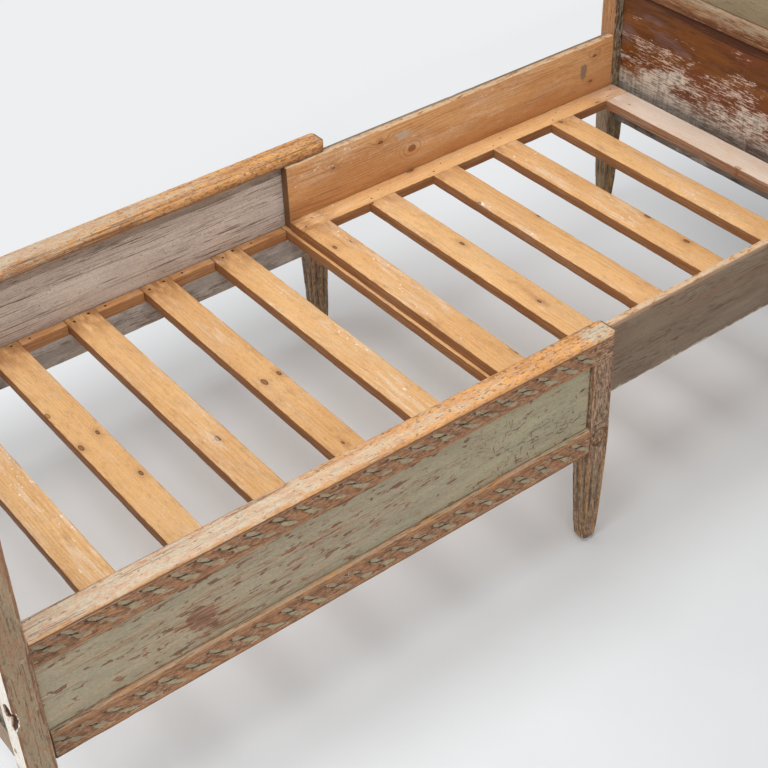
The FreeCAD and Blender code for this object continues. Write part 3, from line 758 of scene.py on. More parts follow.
def stained_panel():
    """Lower end panels: stained brown inside, lime-white paint scraped off low down, dusty at the slats."""
    finish = Finish("stained_panel")
    cloud, z = finish.cloud, finish.z
    fibre = cloud(10, 420)
    blotch = cloud(5, 22, 5, 0.64)
    bloom = cloud(4.5, 12)
    flecks = cloud(40, 250, 6, 0.76)
    cover = cloud(9, 26, 4, 0.6)
    brushed = cloud(150, 10, 3, 0.6)
    runs = cloud(60, 5, 3, 0.6)
    specks = cloud(130, 200, 3, 0.7).rise(0.66, 0.7)
    veins = finish.lines(4, 60, 0.02) * 0.4
    under_rail = (z + (blotch - 0.5) * 0.12 + (fibre - 0.5) * 0.07).rise(0.505, 0.53)
    near_post = abs(finish.y).rise(0.08, 0.36)
    level = z + (bloom - 0.5) * 0.14 - (cover - 0.5) * 0.2
    low = level.fall(0.36, 0.44)
    scraped = (flecks + level.fall(0.36, 0.48) * 0.12 + (cover - 0.5) * 0.4 - 0.055).rise(0.56, 0.61)
    limed = flecks * 0.5 + cover * 0.35 + level.fall(0.33, 0.42) * 0.28 + near_post * 0.1
    limed = limed.rise(0.62, 0.78)
    lime = finish.mixed((flecks * 0.7 + brushed * 0.3).rise(0.42, 0.56), STAIN_GREY, LIME_PALE)
    dust = (z + (cover - 0.5) * 0.06).fall(0.318, 0.35)
    colour = finish.layered(
        STAIN_BROWN,
        (blotch.rise(0.36, 0.64), STAIN_GOLD),
        (bloom.fall(0.36, 0.46) * 0.7, STAIN_RED),
        (bloom.rise(0.54, 0.64) * 0.5, STAIN_MAUVE),
        (veins.most(fibre.rise(0.46, 0.8) * 0.45), STAIN_DARK),
        (under_rail * 0.85, STAIN_DARK),
        (scraped * level.fall(0.42, 0.5) * 0.8, LIME_PINK),
        (limed * 0.85, lime),
        (runs.rise(0.69, 0.72) * level.fall(0.38, 0.46) * 0.6, LIME_PINK),
        (runs.fall(0.28, 0.31) * low * 0.7, STAIN_BROWN),
        (dust * 0.45, STAIN_GREY),
        (dust * near_post * 0.6, lime),
        (z.fall(0.314, 0.319) * 0.4, DIRT_AND_SHADE),
        (specks * low * 0.8, STAIN_DARK))
    paint = flaked(finish, GREY_GREEN, GREY_GREEN_DEEP, colour, -0.03)[0]
    colour = finish.mixed(finish.end_outside(), colour, paint)
    return finish.done(colour, limed * 0.15 + 0.55, flecks * 0.6 + fibre * 0.4, 0.5 * mm, 0.5)


def board_pine():
    """The sliding boards: pine inside, painted darker low down as shade, old dark paint outside, a worn top
    edge and a chipped lower one.
    """
    finish = Finish("board_pine")
    cloud, z = finish.cloud, finish.z
    colour, pine_height = pine(finish, BOARD_LIGHT, BOARD_MID, PINE_DARK, 0.2, 0.4)
    rubbed = cloud(5, 120, 4, 0.66).rise(0.55, 0.7)
    spotted = cloud(50, 190, 5, 0.72)
    ragged = (cloud(70, 70, 4, 0.6) - 0.5) * 1.6
    on_back = finish.y.rise(0.0, 0.2)
    up = finish.look[Z].rise(0.5, 0.8)
    smear = finish.oval(BOARD_SMEAR) + ragged
    scar = finish.oval(BOARD_SCAR) + ragged
    knot = finish.oval(BOARD_KNOT) + ragged * 0.2
    whorl = (knot * 7.0).sine().rise(0.2, 0.9) * knot.between(1.0, 1.4, 1.8, 4.0)
    colour = finish.layered(
        drips(finish, colour, 0.6),
        (rubbed * 0.4, PINE_DARK),
        (smear.fall(0.6, 1.1) * on_back * 0.75, WEATHERED),
        ((whorl * 0.35).most(knot.fall(0.85, 1.05) * 0.8) * on_back, KNOT_BROWN),
        (scar.fall(0.4, 0.8) * on_back * 0.7, LIME_GREY),
        # painted shade: the pine darker towards the bottom of the board
        (z.fall(0.325, 0.37) * 0.3, PINE_DARK),
        (up * spotted.rise(0.4, 0.56) * 0.6, WORN_PALE),
        (up * spotted.fall(0.36, 0.46) * 0.7, OLD_WOOD_DARK),
        (abs(finish.look[X]).rise(0.6, 0.9) * 0.85, OLD_WOOD_DARK))
    bands = cloud(3, 46, 3, 0.6).rise(0.4, 0.7)
    scored = cloud(5, 240, 2).rise(0.7, 0.73)
    chips = (z + (cloud(60, 60) - 0.5) * 0.016).fall(0.294, 0.297)
    paint, left, paint_height = flaked(finish, BOARD_PAINT, BOARD_DEEP, old_wood(finish)[0], -0.05)
    paint = finish.layered(
        paint,
        (bands * 0.5, BOARD_DEEP),
        (scored * 0.4, LIME_PALE),
        (spotted.rise(0.56, 0.62) * 0.15, OLD_WOOD_DARK),
        (z.rise(0.36, 0.43) * bands * 0.4, RUBBED),
        (chips * 0.8, WORN_PALE))
    out = finish.outside()
    surface = pine_height * (1.0 - out) + paint_height * out
    return finish.done(finish.mixed(out, colour, paint), 0.66 - left * 0.06, surface, 0.45 * mm, 0.6)


def peg_finish():
    """Peg ends, painted over with the posts."""
    finish = Finish("painted_peg")
    fleck = finish.cloud(160, 160, spot=finish.place)
    colour = finish.mixed(fleck.rise(0.4, 0.62), POST_PAINT, OLD_WOOD)
    return finish.done(colour, fleck * 0.1 + 0.66, fleck, 0.3 * mm)


def pitted(name, colour):
    """Iron of the nails and the pale glides."""
    finish = Finish(name)
    pits = finish.cloud(400, 400, 2, spot=finish.place)
    tint = finish.mixed(pits.rise(0.5, 0.75) * 0.4, colour, DIRT_AND_SHADE)
    return finish.done(tint, 0.75 - pits * 0.2, pits, 0.1 * mm)


# Meshes

def at(axis, along, a, b):
    """A point from its place along an axis and its other two coordinates in order."""
    spot = [a, b]
    spot.insert(axis, along)
    return Vector(spot)


def eased(outline, ease):
    """The outline with each outward corner rounded off by three points."""
    count = len(outline)
    area = sum(outline[i - 1][0] * outline[i][1] - outline[i][0] * outline[i - 1][1] for i in range(count))
    points = []
    for i in range(count):
        here = Vector(outline[i])
        before = Vector(outline[i - 1]) - here
        after = Vector(outline[(i + 1) % count]) - here
        reach = min(ease, before.length * EASE_SHARE, after.length * EASE_SHARE)
        if before.cross(after) * area >= -1e-12:
            points += [here.copy(), here.copy(), here.copy()]
            continue
        before.normalize()
        after.normalize()
        middle = here + (before + after) * reach * EASE_MIDDLE
        points += [here + before * reach, middle, here + after * reach]
    return points


def drawn_in(points, amount):
    """The outline drawn in towards its middle by amount on each axis."""
    low = Vector((min(p.x for p in points), min(p.y for p in points)))
    high = Vector((max(p.x for p in points), max(p.y for p in points)))
    middle = (low + high) / 2.0
    part_x = 1.0 - 2.0 * amount / (high.x - low.x)
    part_y = 1.0 - 2.0 * amount / (high.y - low.y)
    return [middle + Vector(((p.x - middle.x) * part_x, (p.y - middle.y) * part_y)) for p in points]


def nicked(point, inward, seed):
    """The point moved in where the edge is worn."""
    spot = point * NICK_SCALE + Vector((seed * 91.0, seed * 17.0, 0.0))
    wear = sum(noise.noise(spot * finer) * strength for finer, strength in NICK_SIZES)
    return point + inward * (CHIP * max(0.0, wear))


def prism(outline_at, axis, places, seed, ease=EASE):
    """Rings along an axis. outline_at gives the outline at a place. The end rings are drawn in."""
    rings = []
    for place in places:
        points = eased(outline_at(place), ease)
        if place in (places[0], places[-1]):
            points = drawn_in(points, END_DRAWN_IN)
        middle = sum(points, Vector((0.0, 0.0))) / len(points)
        centre = at(axis, place, middle.x, middle.y)
        spots = [at(axis, place, point.x, point.y) for point in points]
        rings.append([nicked(spot, (centre - spot).normalized(), seed) for spot in spots])
    return rings


def spread(start, stop, breaks=()):
    """Places from start to stop, with a close pair at each end and at each break."""
    stations = [start, start + EASE]
    for place in sorted(breaks):
        stations += [place - STEP_GAP, place + STEP_GAP]
    stations += [stop - EASE, stop]
    places = []
    for low, high in zip(stations, stations[1:]):
        parts = max(1, round((high - low) / RING_STEP))
        places += [low + (high - low) * i / parts for i in range(parts)]
    return places + [stop]


def quarter_turn():
    """Angles of the points round a corner."""
    return [math.pi / 2.0 * part / CORNER_PARTS for part in range(CORNER_PARTS + 1)]


def rectangle(a0, a1, b0, b1):
    return [(a0, b0), (a1, b0), (a1, b1), (a0, b1)]


def seed_of(name):
    """A number from 0 to 1 that belongs to a piece's name."""
    total = 0
    for letter in name:
        total = (total * 31 + ord(letter)) * 7919 % 9973
    return total / 9973.0


def store(mesh, name, kind, values):
    """Keeps a number or a vector on each point of a mesh."""
    kept = mesh.attributes.new(name, kind, "POINT")
    kept.data.foreach_set("value" if kind == "FLOAT" else "vector", values)


def ring_mesh(name, shells, relief=None):
    """A closed mesh over each list of rings. relief gives how much of the surface is left at a point."""
    bm = bmesh.new()
    for rings in shells:
        rows = [[bm.verts.new(point) for point in ring] for ring in rings]
        count = len(rows[0])
        for lower, upper in zip(rows, rows[1:]):
            for i in range(count):
                after = (i + 1) % count
                bm.faces.new((lower[i], lower[after], upper[after], upper[i]))
        bm.faces.new(rows[0][::-1])
        bm.faces.new(rows[-1])
    bmesh.ops.remove_doubles(bm, verts=bm.verts, dist=0.02 * mm)
    bmesh.ops.dissolve_degenerate(bm, edges=bm.edges, dist=0.01 * mm)
    bmesh.ops.recalc_face_normals(bm, faces=bm.faces)
    mesh = bpy.data.meshes.new(name)
    bm.to_mesh(mesh)
    bm.free()
    left = [relief(v.co) if relief else 1.0 for v in mesh.vertices]
    store(mesh, "relief", "FLOAT", left)
    return mesh


def joined(name, meshes):
    """One mesh of several, which keep what is stored on their points."""
    holders = [bpy.data.objects.new(name, mesh) for mesh in meshes]
    for holder in holders:
        bpy.context.scene.collection.objects.link(holder)
    with bpy.context.temp_override(active_object=holders[0], selected_editable_objects=holders):
        bpy.ops.object.join()
    mesh = holders[0].data
    bpy.data.objects.remove(holders[0])
    return mesh


def mark_grain(mesh, axis, seed):
    """Stores each point's place from the middle of the piece, along, across and into its grain."""
    low = [min(v.co[k] for v in mesh.vertices) for k in (X, Y, Z)]
    high = [max(v.co[k] for v in mesh.vertices) for k in (X, Y, Z)]
    others = sorted((k for k in (X, Y, Z) if k != axis), key=lambda k: low[k] - high[k])
    order = [axis] + others
    sizes = [(high[k] - low[k]) / 2.0 for k in order]
    local = []
    for v in mesh.vertices:
        local += [v.co[k] - (low[k] + high[k]) / 2.0 for k in order]
    count = len(mesh.vertices)
    store(mesh, "local", "FLOAT_VECTOR", local)
    store(mesh, "half", "FLOAT_VECTOR", sizes * count)
    store(mesh, "seed", "FLOAT", [seed] * count)


def add_piece(name, mesh, body, slot, node=None):
    """The object of a mesh, on its body, in place of a CAD node if one is named. slot is not used."""
    piece = bpy.data.objects.new(name, mesh)
    bpy.context.scene.collection.objects.link(piece)
    if node:
        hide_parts(node)
    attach(piece, body)


def set_in_place(node, mesh, axis, body, slot, material):
    """The worn piece that stands for a CAD node, with its grain along an axis."""
    mark_grain(mesh, axis, seed_of(node))
    mesh.shade_smooth()
    mesh.set_sharp_from_angle(angle=SHARP_ANGLE)
    mesh.materials.clear()
    mesh.materials.append(material)
    add_piece(node + "_worn", mesh, body, slot, node)


def middle_height(node):
    """Half way up a CAD node."""
    low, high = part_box(node)
    return (low.z + high.z) / 2.0


def plank(node, axis, start, stop, outline):
    """A worn board with one outline from start to stop along an axis."""
    return ring_mesh(node, [prism(lambda place: outline, axis, spread(start, stop), seed_of(node))])


# Shapes made by geometry nodes

class Shape(Tree):
    """A geometry tree that makes a plain mesh. Its inputs are the points of a base mesh and named values."""

    def __init__(self, name, **inputs):
        super().__init__(bpy.data.node_groups.new(name, "GeometryNodeTree"))
        self.inputs = inputs
        face = self.nodes.interface
        face.new_socket("Places", in_out="INPUT", socket_type="NodeSocketGeometry")
        for key in inputs:
            kind = "NodeSocketMaterial" if key == "Finish" else "NodeSocketFloat"
            face.new_socket(key, in_out="INPUT", socket_type=kind)
        face.new_socket("Geometry", in_out="OUTPUT", socket_type="NodeSocketGeometry")
        self.entry = self.nodes.nodes.new("NodeGroupInput")

    def given(self, name):
        return Field(self, self.entry.outputs[name])

    def place(self):
        """X, Y and Z of each point."""
        return self.add("GeometryNodeInputPosition", {}, {}).parts()

    def at_places(self, instance, rotation, **more):
        """The instance at every point of the base mesh."""
        sockets = {"Points": self.given("Places"), "Instance": instance, "Rotation": rotation, **more}
        return self.add("GeometryNodeInstanceOnPoints", {}, sockets)

    def mesh(self, geometry, base):
        """The plain mesh of the geometry, made over a base mesh."""
        real = self.add("GeometryNodeRealizeInstances", {}, {"Geometry": geometry})
        finish = self.given("Finish")
        coloured = self.add("GeometryNodeSetMaterial", {}, {"Geometry": real, "Material": finish})
        leave = self.nodes.nodes.new("NodeGroupOutput")
        self.nodes.links.new(coloured.socket, leave.inputs["Geometry"])
        holder = bpy.data.objects.new("holder", base)
        bpy.context.scene.collection.objects.link(holder)
        modifier = holder.modifiers.new("tree", "NODES")
        modifier.node_group = self.nodes
        for item in self.nodes.interface.items_tree:
            if item.in_out == "INPUT" and item.name in self.inputs:
                modifier[item.identifier] = self.inputs[item.name]
        graph = bpy.context.evaluated_depsgraph_get()
        mesh = bpy.data.meshes.new_from_object(holder.evaluated_get(graph))
        holder.modifiers.remove(modifier)
        bpy.data.objects.remove(holder)
        return mesh


class Carving(Shape):
    """A flat strip in X and Y that is cut down by a rule."""

    def __init__(self, name, length, height, finish):
        super().__init__(name, Length=length, Height=height, Depth=BAND_DEPTH, Finish=finish)
        counts = {"Vertices X": round(length / BAND_STEP) + 1, "Vertices Y": round(height / BAND_STEP) + 1}
        sizes = {"Size X": self.given("Length"), "Size Y": self.given("Height")}
        self.strip = self.add("GeometryNodeMeshGrid", {}, {**sizes, **counts})
        self.x, self.y, _ = self.place()

    def uneven(self, along, across, detail, out):
        """Noise over the strip."""
        spot = self.vector(self.x * along, self.y * across, 0.0)
        sockets = {"Vector": spot, "Scale": 1.0, "Detail": detail}
        return self.add("ShaderNodeTexNoise", {"noise_dimensions": "2D"}, sockets, out)

    def cut_strip(self, relief, pocket, cut):
        """The strip as a plain mesh. relief is 1 where nothing is cut, pocket 1 in the painted hollows and
        cut 1 in the dark lines, which are coloured as dirt and painted shade. All three stay on the points."""
        stored = self.strip
        for name, value in (("relief", relief), ("pocket", pocket), ("cut", cut)):
            stored = self.add(
                "GeometryNodeStoreNamedAttribute", {"data_type": "FLOAT", "domain": "POINT"},
                {"Geometry": stored, "Name": name, "Value": value})
        down = self.vector(0.0, 0.0, (relief - 1.0) * self.given("Depth"))
        lowered = self.add("GeometryNodeSetPosition", {}, {"Geometry": stored, "Offset": down})
        return self.mesh(lowered, bpy.data.meshes.new("blank"))


def carved_band(length):
    """A running band of slanting ribbons. The hollows between are cut in two leaves by a deep curved line."""
    carving = Carving("ribbon_band", length, BAND_HEIGHT, rail_finish)
    shift_x, shift_y, shift_z = carving.uneven(30.0, 30.0, 1, 1).parts()
    wobble = carving.uneven(150.0, 170.0, 2, 0) - 0.5
    along = carving.x / BAND_PITCH + (shift_x - 0.5) * 0.18
    across = carving.y / (BAND_HEIGHT / 2.0) + (shift_y - 0.5) * 0.34
    turn = (along.fraction() - 0.5) * 2.0
    width = shift_z * 0.22 + 0.22

    def hollow(turn):
        """Distance from the middle line of a hollow, half its height there, and how far past its outline."""
        off = across + turn * 0.7 + (turn * math.pi).sine() * 0.12
        room = (1.0 - turn * turn * 0.62).most(0.001) ** (0.75 - turn * 0.2) * width
        return off, room, abs(off) - room

    off, room, past = hollow(turn)
    next_turn = turn - (turn.rise(-0.001, 0.001) * 4.0 - 2.0)
    next_past = hollow(next_turn)[2]
    tip = past.fall(-0.07, 0.0) * turn.fall(-0.95, -0.75)
    tip = tip.most(next_past.fall(-0.07, 0.0) * next_turn.fall(-0.95, -0.75))
    past = past.least(next_past) + wobble * 0.14
    inside = past.fall(-0.07, 0.0)
    crossing = (turn * 2.5).most(-1.57).least(1.57).sine() + wobble * 0.5
    cut = abs(off - crossing * room).fall(0.03, 0.11) * inside * abs(turn).fall(0.75, 0.95)
    slope = off / (room + 0.05) * 0.2 + 0.45
    strand = (past * 39.0 - 3.5).sine().rise(-0.2, 0.8) * past.between(0.04, 0.08, 0.4, 0.6)
    strand = strand * (wobble + shift_z).rise(0.2, 0.6)
    outline = abs(past).fall(0.01, 0.06)
    rim = abs(across).fall(0.9, 0.98)
    sunk = (inside * slope.least(0.7)).most(past.fall(0.0, 0.3) * 0.3).most(cut.most(tip) * 0.95)
    sunk = sunk + strand * 0.16
    # the dark lines: dirt and painted shade in the cuts, the tips, the strands and the outlines of the
    # hollows
    dark = cut.most(tip * 0.7).most(strand * 0.3).most(outline * 0.4)
    return carving.cut_strip(1.0 - sunk * rim, past.fall(-0.05, 0.02) * rim, dark * rim)


def carved_rosette(width, height):
    """A round flower of eight petals in a ring."""
    carving = Carving("rosette", width, height, post_finish)
    out = carving.x.away(carving.y) / ROSETTE_RADIUS
    turn = carving.add("ShaderNodeMath", {"operation": "ARCTAN2"}, {0: carving.y, 1: carving.x})
    petals = (1.0 - abs((turn * 4.0).sine()) ** 0.6) * 0.75 + 0.1
    flower = petals * out.between(0.3, 0.42, 0.78, 0.9)
    boss = out.between(0.2, 0.3, 0.3, 0.4)
    groove = out.between(0.78, 0.84, 0.86, 0.92)
    border = out.between(0.97, 1.02, 1.05, 1.12) * 0.8
    sunk = flower.most(boss).most(groove).most(border) * 0.8
    return carving.cut_strip(1.0 - sunk, sunk.rise(0.3, 0.6), sunk.rise(0.5, 0.8))


def set_into(mesh, side, middle_x, middle_z):
    """Gives a carved strip a back, turns it upright and sets it into the outer face of a side."""
    bm = bmesh.new()
    bm.from_mesh(mesh)
    layers = bm.verts.layers.float
    border = [e for e in bm.edges if e.is_boundary]
    walls = bmesh.ops.extrude_edge_only(bm, edges=border)["geom"]
    for v in walls:
        if isinstance(v, bmesh.types.BMVert):
            v.co.z = -BAND_BED
            for name, value in (("relief", 1.0), ("pocket", 0.0), ("cut", 0.0)):
                v[layers[name]] = value
    bmesh.ops.holes_fill(bm, edges=[e for e in bm.edges if e.is_boundary], sides=0)
    for v in bm.verts:
        v.co = Vector((middle_x + v.co.x, side * (HALF_WIDTH + v.co.z), middle_z + v.co.y))
    bmesh.ops.recalc_face_normals(bm, faces=bm.faces)
    bm.to_mesh(mesh)
    bm.free()
    return mesh


# Studio

def show_to_camera(tree, mask, base, shown, output):
    """Ends a shader tree with base, and with what is shown to the camera alone where the mask is 1."""
    seen = tree.add("ShaderNodeLightPath", {}, {}, "Is Camera Ray")
    blended = tree.add("ShaderNodeMixShader", {}, {0: seen * mask, 1: base, 2: shown})
    tree.nodes.links.new(blended.socket, tree.nodes.nodes[output].inputs["Surface"])


def make_floor():
    """A pale floor that fades into the backdrop, painted darker towards the front right as shade, and glowing
    to the camera under the head end as painted light over the shade there.
    """
    bpy.ops.mesh.primitive_plane_add(size=FLOOR_SIZE)
    floor = bpy.context.object
    floor.name = "studio_floor"
    finish = Finish("studio_floor_pale")
    x, y = finish.x, finish.y
    patch = finish.cloud(3, 3, spot=finish.place)
    # painted shade: the floor darker towards the front right
    painted_shade_near = (x * 0.6 - y * 0.8).rise(-1.6, 2.2)
    colour = finish.mixed(painted_shade_near * 0.8 + patch * 0.2, FLOOR_PALE, FLOOR_SHADED)
    floor.data.materials.append(finish.done(colour, 0.75 + patch * 0.1, patch, 0.0))
    # where the floor glows to the camera: far off to meet the backdrop, and under the head end as painted
    # light that hides the shade
    far = x.away(y).rise(1.3, 3.2).most(y.rise(0.55, 1.3))
    far = far.most(y.rise(-0.3, 0.9) * x.rise(0.1, 0.8) * 0.9)
    glow = finish.add("ShaderNodeEmission", {}, {"Color": FLOOR_FAR, "Strength": 1.0})
    show_to_camera(finish, far, Field(finish, finish.shader.outputs["BSDF"]), glow, "Material Output")


def make_light():
    """Even pale light from all round, a backdrop as pale as the far floor, and soft lamps."""
    world = bpy.data.worlds.new("studio")
    bpy.context.scene.world = world
    world.use_nodes = True
    sky = Tree(world.node_tree)
    lighting = sky.add("ShaderNodeBackground", {}, {"Color": (1.0, 1.0, 1.0, 1.0), "Strength": SKY_STRENGTH})
    backdrop = sky.add("ShaderNodeBackground", {}, {"Color": FLOOR_FAR, "Strength": 1.0})
    show_to_camera(sky, 1.0, lighting, backdrop, "World Output")
    for name, place, size, power in LAMPS:
        lamp = bpy.data.lights.new(name, "AREA")
        lamp.size = size
        lamp.energy = power
        holder = bpy.data.objects.new(name, lamp)
        holder.location = place
        holder.rotation_euler = (LAMP_AIM - Vector(place)).to_track_quat("-Z", "Y").to_euler()
        bpy.context.scene.collection.objects.link(holder)


def make_camera():
    """The camera that sees the bed as the photograph does."""
    camera = bpy.data.cameras.new("photo_camera")
    camera.lens = CAMERA_LENS
    camera.sensor_width = CAMERA_SENSOR
    holder = bpy.data.objects.new("photo_camera", camera)
    holder.location = CAMERA_PLACE
    level = CAMERA_LOOK.to_track_quat("-Z", "Y")
    holder.rotation_mode = "QUATERNION"
    holder.rotation_quaternion = level @ Quaternion((0.0, 0.0, 1.0), CAMERA_ROLL)
    bpy.context.scene.collection.objects.link(holder)
    bpy.context.scene.camera = holder


# Side frames of the foot half

def make_carved_rail(name, side_name, inside, chamfer, stop, band_stop, ease=EASE, end_round=0.0):
    """A side rail with a carved strip in its outer face. inside is the inner part of its section, from the
    top down, and end_round the rounding of its corners at stop."""
    side = SIDES[side_name]
    node = "side_%s_rail_%s" % (name, side_name)
    low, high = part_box(node)
    lower, upper = low.z, high.z - chamfer
    strip_low, strip_high = (lower + upper - BAND_HEIGHT) / 2.0, (lower + upper + BAND_HEIGHT) / 2.0
    inner = min(y for y, z in inside)
    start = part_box("foot_post_" + side_name)[1].x
    band_start = start + BAND_END

    def section(x):
        bed = HALF_WIDTH - BAND_BED if band_start < x < band_stop else HALF_WIDTH
        outline = [
            (HALF_WIDTH, lower), (HALF_WIDTH, strip_low), (bed, strip_low), (bed, strip_high),
            (HALF_WIDTH, strip_high), (HALF_WIDTH, upper), (HALF_WIDTH - chamfer, upper + chamfer)] + inside
        into = max(0.0, end_round - (stop - x))
        inset = min(end_round - math.sqrt(max(0.0, end_round ** 2 - into ** 2)), end_round * 0.8)
        return [(side * min(max(y, inner + inset), HALF_WIDTH - inset), z) for y, z in outline]

    breaks = [band_start, band_stop]
    if end_round:
        breaks += [stop - end_round * part for part in END_ROUND_RINGS]
    rings = prism(section, X, spread(start, stop, breaks), seed_of(node), ease)
    strip = carved_band(band_stop - band_start)
    strip = set_into(strip, side, (band_start + band_stop) / 2.0, (lower + upper) / 2.0)
    mesh = joined(node, [ring_mesh(node, [rings]), strip])
    set_in_place(node, mesh, X, "foot_half", "frame_paint", rail_finish)


def make_top_rail(side_name):
    """The rail whose rounded nose reaches over the sliding board."""
    low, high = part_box("side_top_rail_" + side_name)
    inner = HALF_WIDTH - TOP_RAIL_WIDTH
    slide = HALF_WIDTH - REBATE_DEPTH
    lip = high.z - NOSE_THICKNESS
    nose = [
        (inner + NOSE_ROUND * (1.0 - math.sin(turn)), high.z - NOSE_ROUND * (1.0 - math.cos(turn)))
        for turn in quarter_turn()]
    inside = nose + [(inner, lip), (slide, lip), (slide, low.z)]
    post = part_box("mid_post_" + side_name)[0].x
    make_carved_rail("top", side_name, inside, TOP_RAIL_CHAMFER, high.x, post, CRISP_EASE, RAIL_END_ROUND)


def make_bottom_rail(side_name):
    """The rail whose inner part is the ledge of the slats."""
    low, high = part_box("side_bottom_rail_" + side_name)
    inner = HALF_WIDTH - BOTTOM_RAIL_WIDTH
    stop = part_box("mid_post_" + side_name)[0].x
    inside = [(inner, high.z), (inner, low.z)]
    make_carved_rail("bottom", side_name, inside, BOTTOM_RAIL_CHAMFER, stop, stop - BAND_END)


def make_side_panel(side_name):
    """The panel, drawn away from the mid post, so that its tongue shows there."""
    side = SIDES[side_name]
    node = "side_panel_" + side_name
    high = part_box(node)[1]
    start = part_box("foot_post_" + side_name)[1].x + SHADOW_GAP
    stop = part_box("mid_post_" + side_name)[0].x - PANEL_SHRUNK
    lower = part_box("side_bottom_rail_" + side_name)[1].z + SHADOW_GAP
    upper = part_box("side_top_rail_" + side_name)[0].z - SHADOW_GAP * 0.3

    def section(x):
        back, face = (PANEL_BACK, PANEL_FACE) if x < stop else (TONGUE_BACK, TONGUE_FACE)
        return rectangle(side * (HALF_WIDTH - back), side * (HALF_WIDTH - face), lower, upper)

    rings = prism(section, X, spread(start, high.x, [stop]), seed_of(node))
    set_in_place(node, ring_mesh(node, [rings]), X, "foot_half", "panel_paint", panel_finish)


# Posts

def square_ring(x0, x1, y0, y1, z, flute, ease):
    """Points round a post with rounded corners. Each face has room for two flutes, as deep as flute says."""
    corners = [Vector((x0, y0, z)), Vector((x1, y0, z)), Vector((x1, y1, z)), Vector((x0, y1, z))]
    points = []
    for i in range(4):
        start, stop = corners[i], corners[(i + 1) % 4]
        along = (stop - start).normalized()
        inward = Vector((-along.y, along.x, 0.0))
        half = (stop - start).length / 2.0
        for turn in quarter_turn():
            points.append(
                start + along * ease * (1.0 - math.cos(turn)) + inward * ease * (1.0 - math.sin(turn)))
        wide = min(FLUTE_HALF_WIDTH, (half - ease) * FLUTE_SHARE)
        for lane in (-1.0, 1.0):
            middle = start + along * (half + lane * (half - ease) / 2.0)
            for part in FLUTE_POINTS:
                sunk = flute * FLUTE_DEPTH * (1.0 - part * part)
                points.append(middle + along * wide * part + inward * sunk)
    return points


def post_levels(bottom, top, more):
    """Heights of the rings of a post, closer on the leg."""
    levels = [bottom + FOOT_ROUND * part for part in FOOT_RINGS]
    height = levels[-1] + LEG_STEP
    while height < top - POST_TOP_CHAMFER:
        levels.append(height)
        height += LEG_STEP if height < LEG_TOP else RING_STEP
    return sorted(levels + list(more) + [top - POST_TOP_CHAMFER, top])


def ramp(value, low, high):
    """0 below low and 1 above high, straight between."""
    return min(1.0, max(0.0, (value - low) / (high - low)))


def post_size(z, bottom, half_size):
    """Half of a post's side at a height: the leg tapers and its foot is rounded."""
    half_foot = FOOT_SIZE / 2.0
    half = half_foot + (half_size - half_foot) * ramp(z, bottom, LEG_TOP)
    rise = min(FOOT_ROUND, z - bottom)
    return half - FOOT_ROUND + math.sqrt(max(0.0, FOOT_ROUND ** 2 - (FOOT_ROUND - rise) ** 2))


def post_rings(low, high, top, seed, section, more, dent=None):
    """Rings of a fluted post. section changes its sides at a height, dent moves a point."""
    bottom = low.z
    middle = (low + high) / 2.0
    rings = []
    for z in post_levels(bottom, top, more):
        half_x = post_size(z, bottom, (high.x - low.x) / 2.0)
        half_y = post_size(z, bottom, (high.y - low.y) / 2.0)
        sides = section(z, [middle.x - half_x, middle.x + half_x, middle.y - half_y, middle.y + half_y])
        flute = ramp(z, FLUTE_BOTTOM, FLUTE_BOTTOM + FLUTE_RUN_OUT)
        flute *= 1.0 - ramp(z, FLUTE_TOP - FLUTE_RUN_OUT, FLUTE_TOP)
        ease = EASE + FOOT_EASE * (1.0 - ramp(z, bottom, bottom + FOOT_EASE_HEIGHT)) ** 2
        ring = []
        for point in square_ring(*sides, z, flute, min(ease, half_x * 0.75, half_y * 0.75)):
            inward = Vector((middle.x - point.x, middle.y - point.y, 0.0)).normalized()
            worn = nicked(point, inward, seed)
            ring.append(dent(worn) if dent else worn)
        rings.append(ring)
    return rings


def flute_relief(low, high):
    """How much of a post's surface is left at a point: 0 in the bottom of a flute."""
    middle = (low + high) / 2.0

    def relief(point):
        depths = []
        for axis in (X, Y):
            half = post_size(max(point.z, low.z + FOOT_ROUND), low.z, (high[axis] - low[axis]) / 2.0)
            depths.append(half - abs(point[axis] - middle[axis]))
        return 1.0 - ramp(min(depths), 0.0, FLUTE_DEPTH)
    return relief


def bolt_hole(point):
    """Sinks the points of the front foot post that lie in the broken bolt hole."""
    off = math.hypot(*[(point[axis] - BOLT_HOLE[axis]) / BOLT_HOLE_SIZE[axis] for axis in (X, Y, Z)])
    off += noise.noise(point * BOLT_HOLE_CELLS) * BOLT_HOLE_ROUGH
    return point + BOLT_HOLE_INWARD * math.sqrt(max(0.0, 1.0 - off))


def make_end_post(end, side_name, body):
    """A tall post of the head or foot board, chamfered at the top."""
    node = "%s_post_%s" % (end, side_name)
    low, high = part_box(node)
    top = high.z

    def topped(z, sides):
        inset = POST_TOP_CHAMFER * ramp(z, top - POST_TOP_CHAMFER, top)
        return [sides[0] + inset, sides[1] - inset, sides[2] + inset, sides[3] - inset]

    holed = node == "foot_post_front"
    more = [BOLT_HOLE.z + BOLT_HOLE_STEP * i for i in range(-11, 12)] if holed else []
    rings = post_rings(low, high, top, seed_of(node), topped, more, bolt_hole if holed else None)
    mesh = ring_mesh(node, [rings], flute_relief(low, high))
    set_in_place(node, mesh, Z, body, "frame_paint", post_finish)


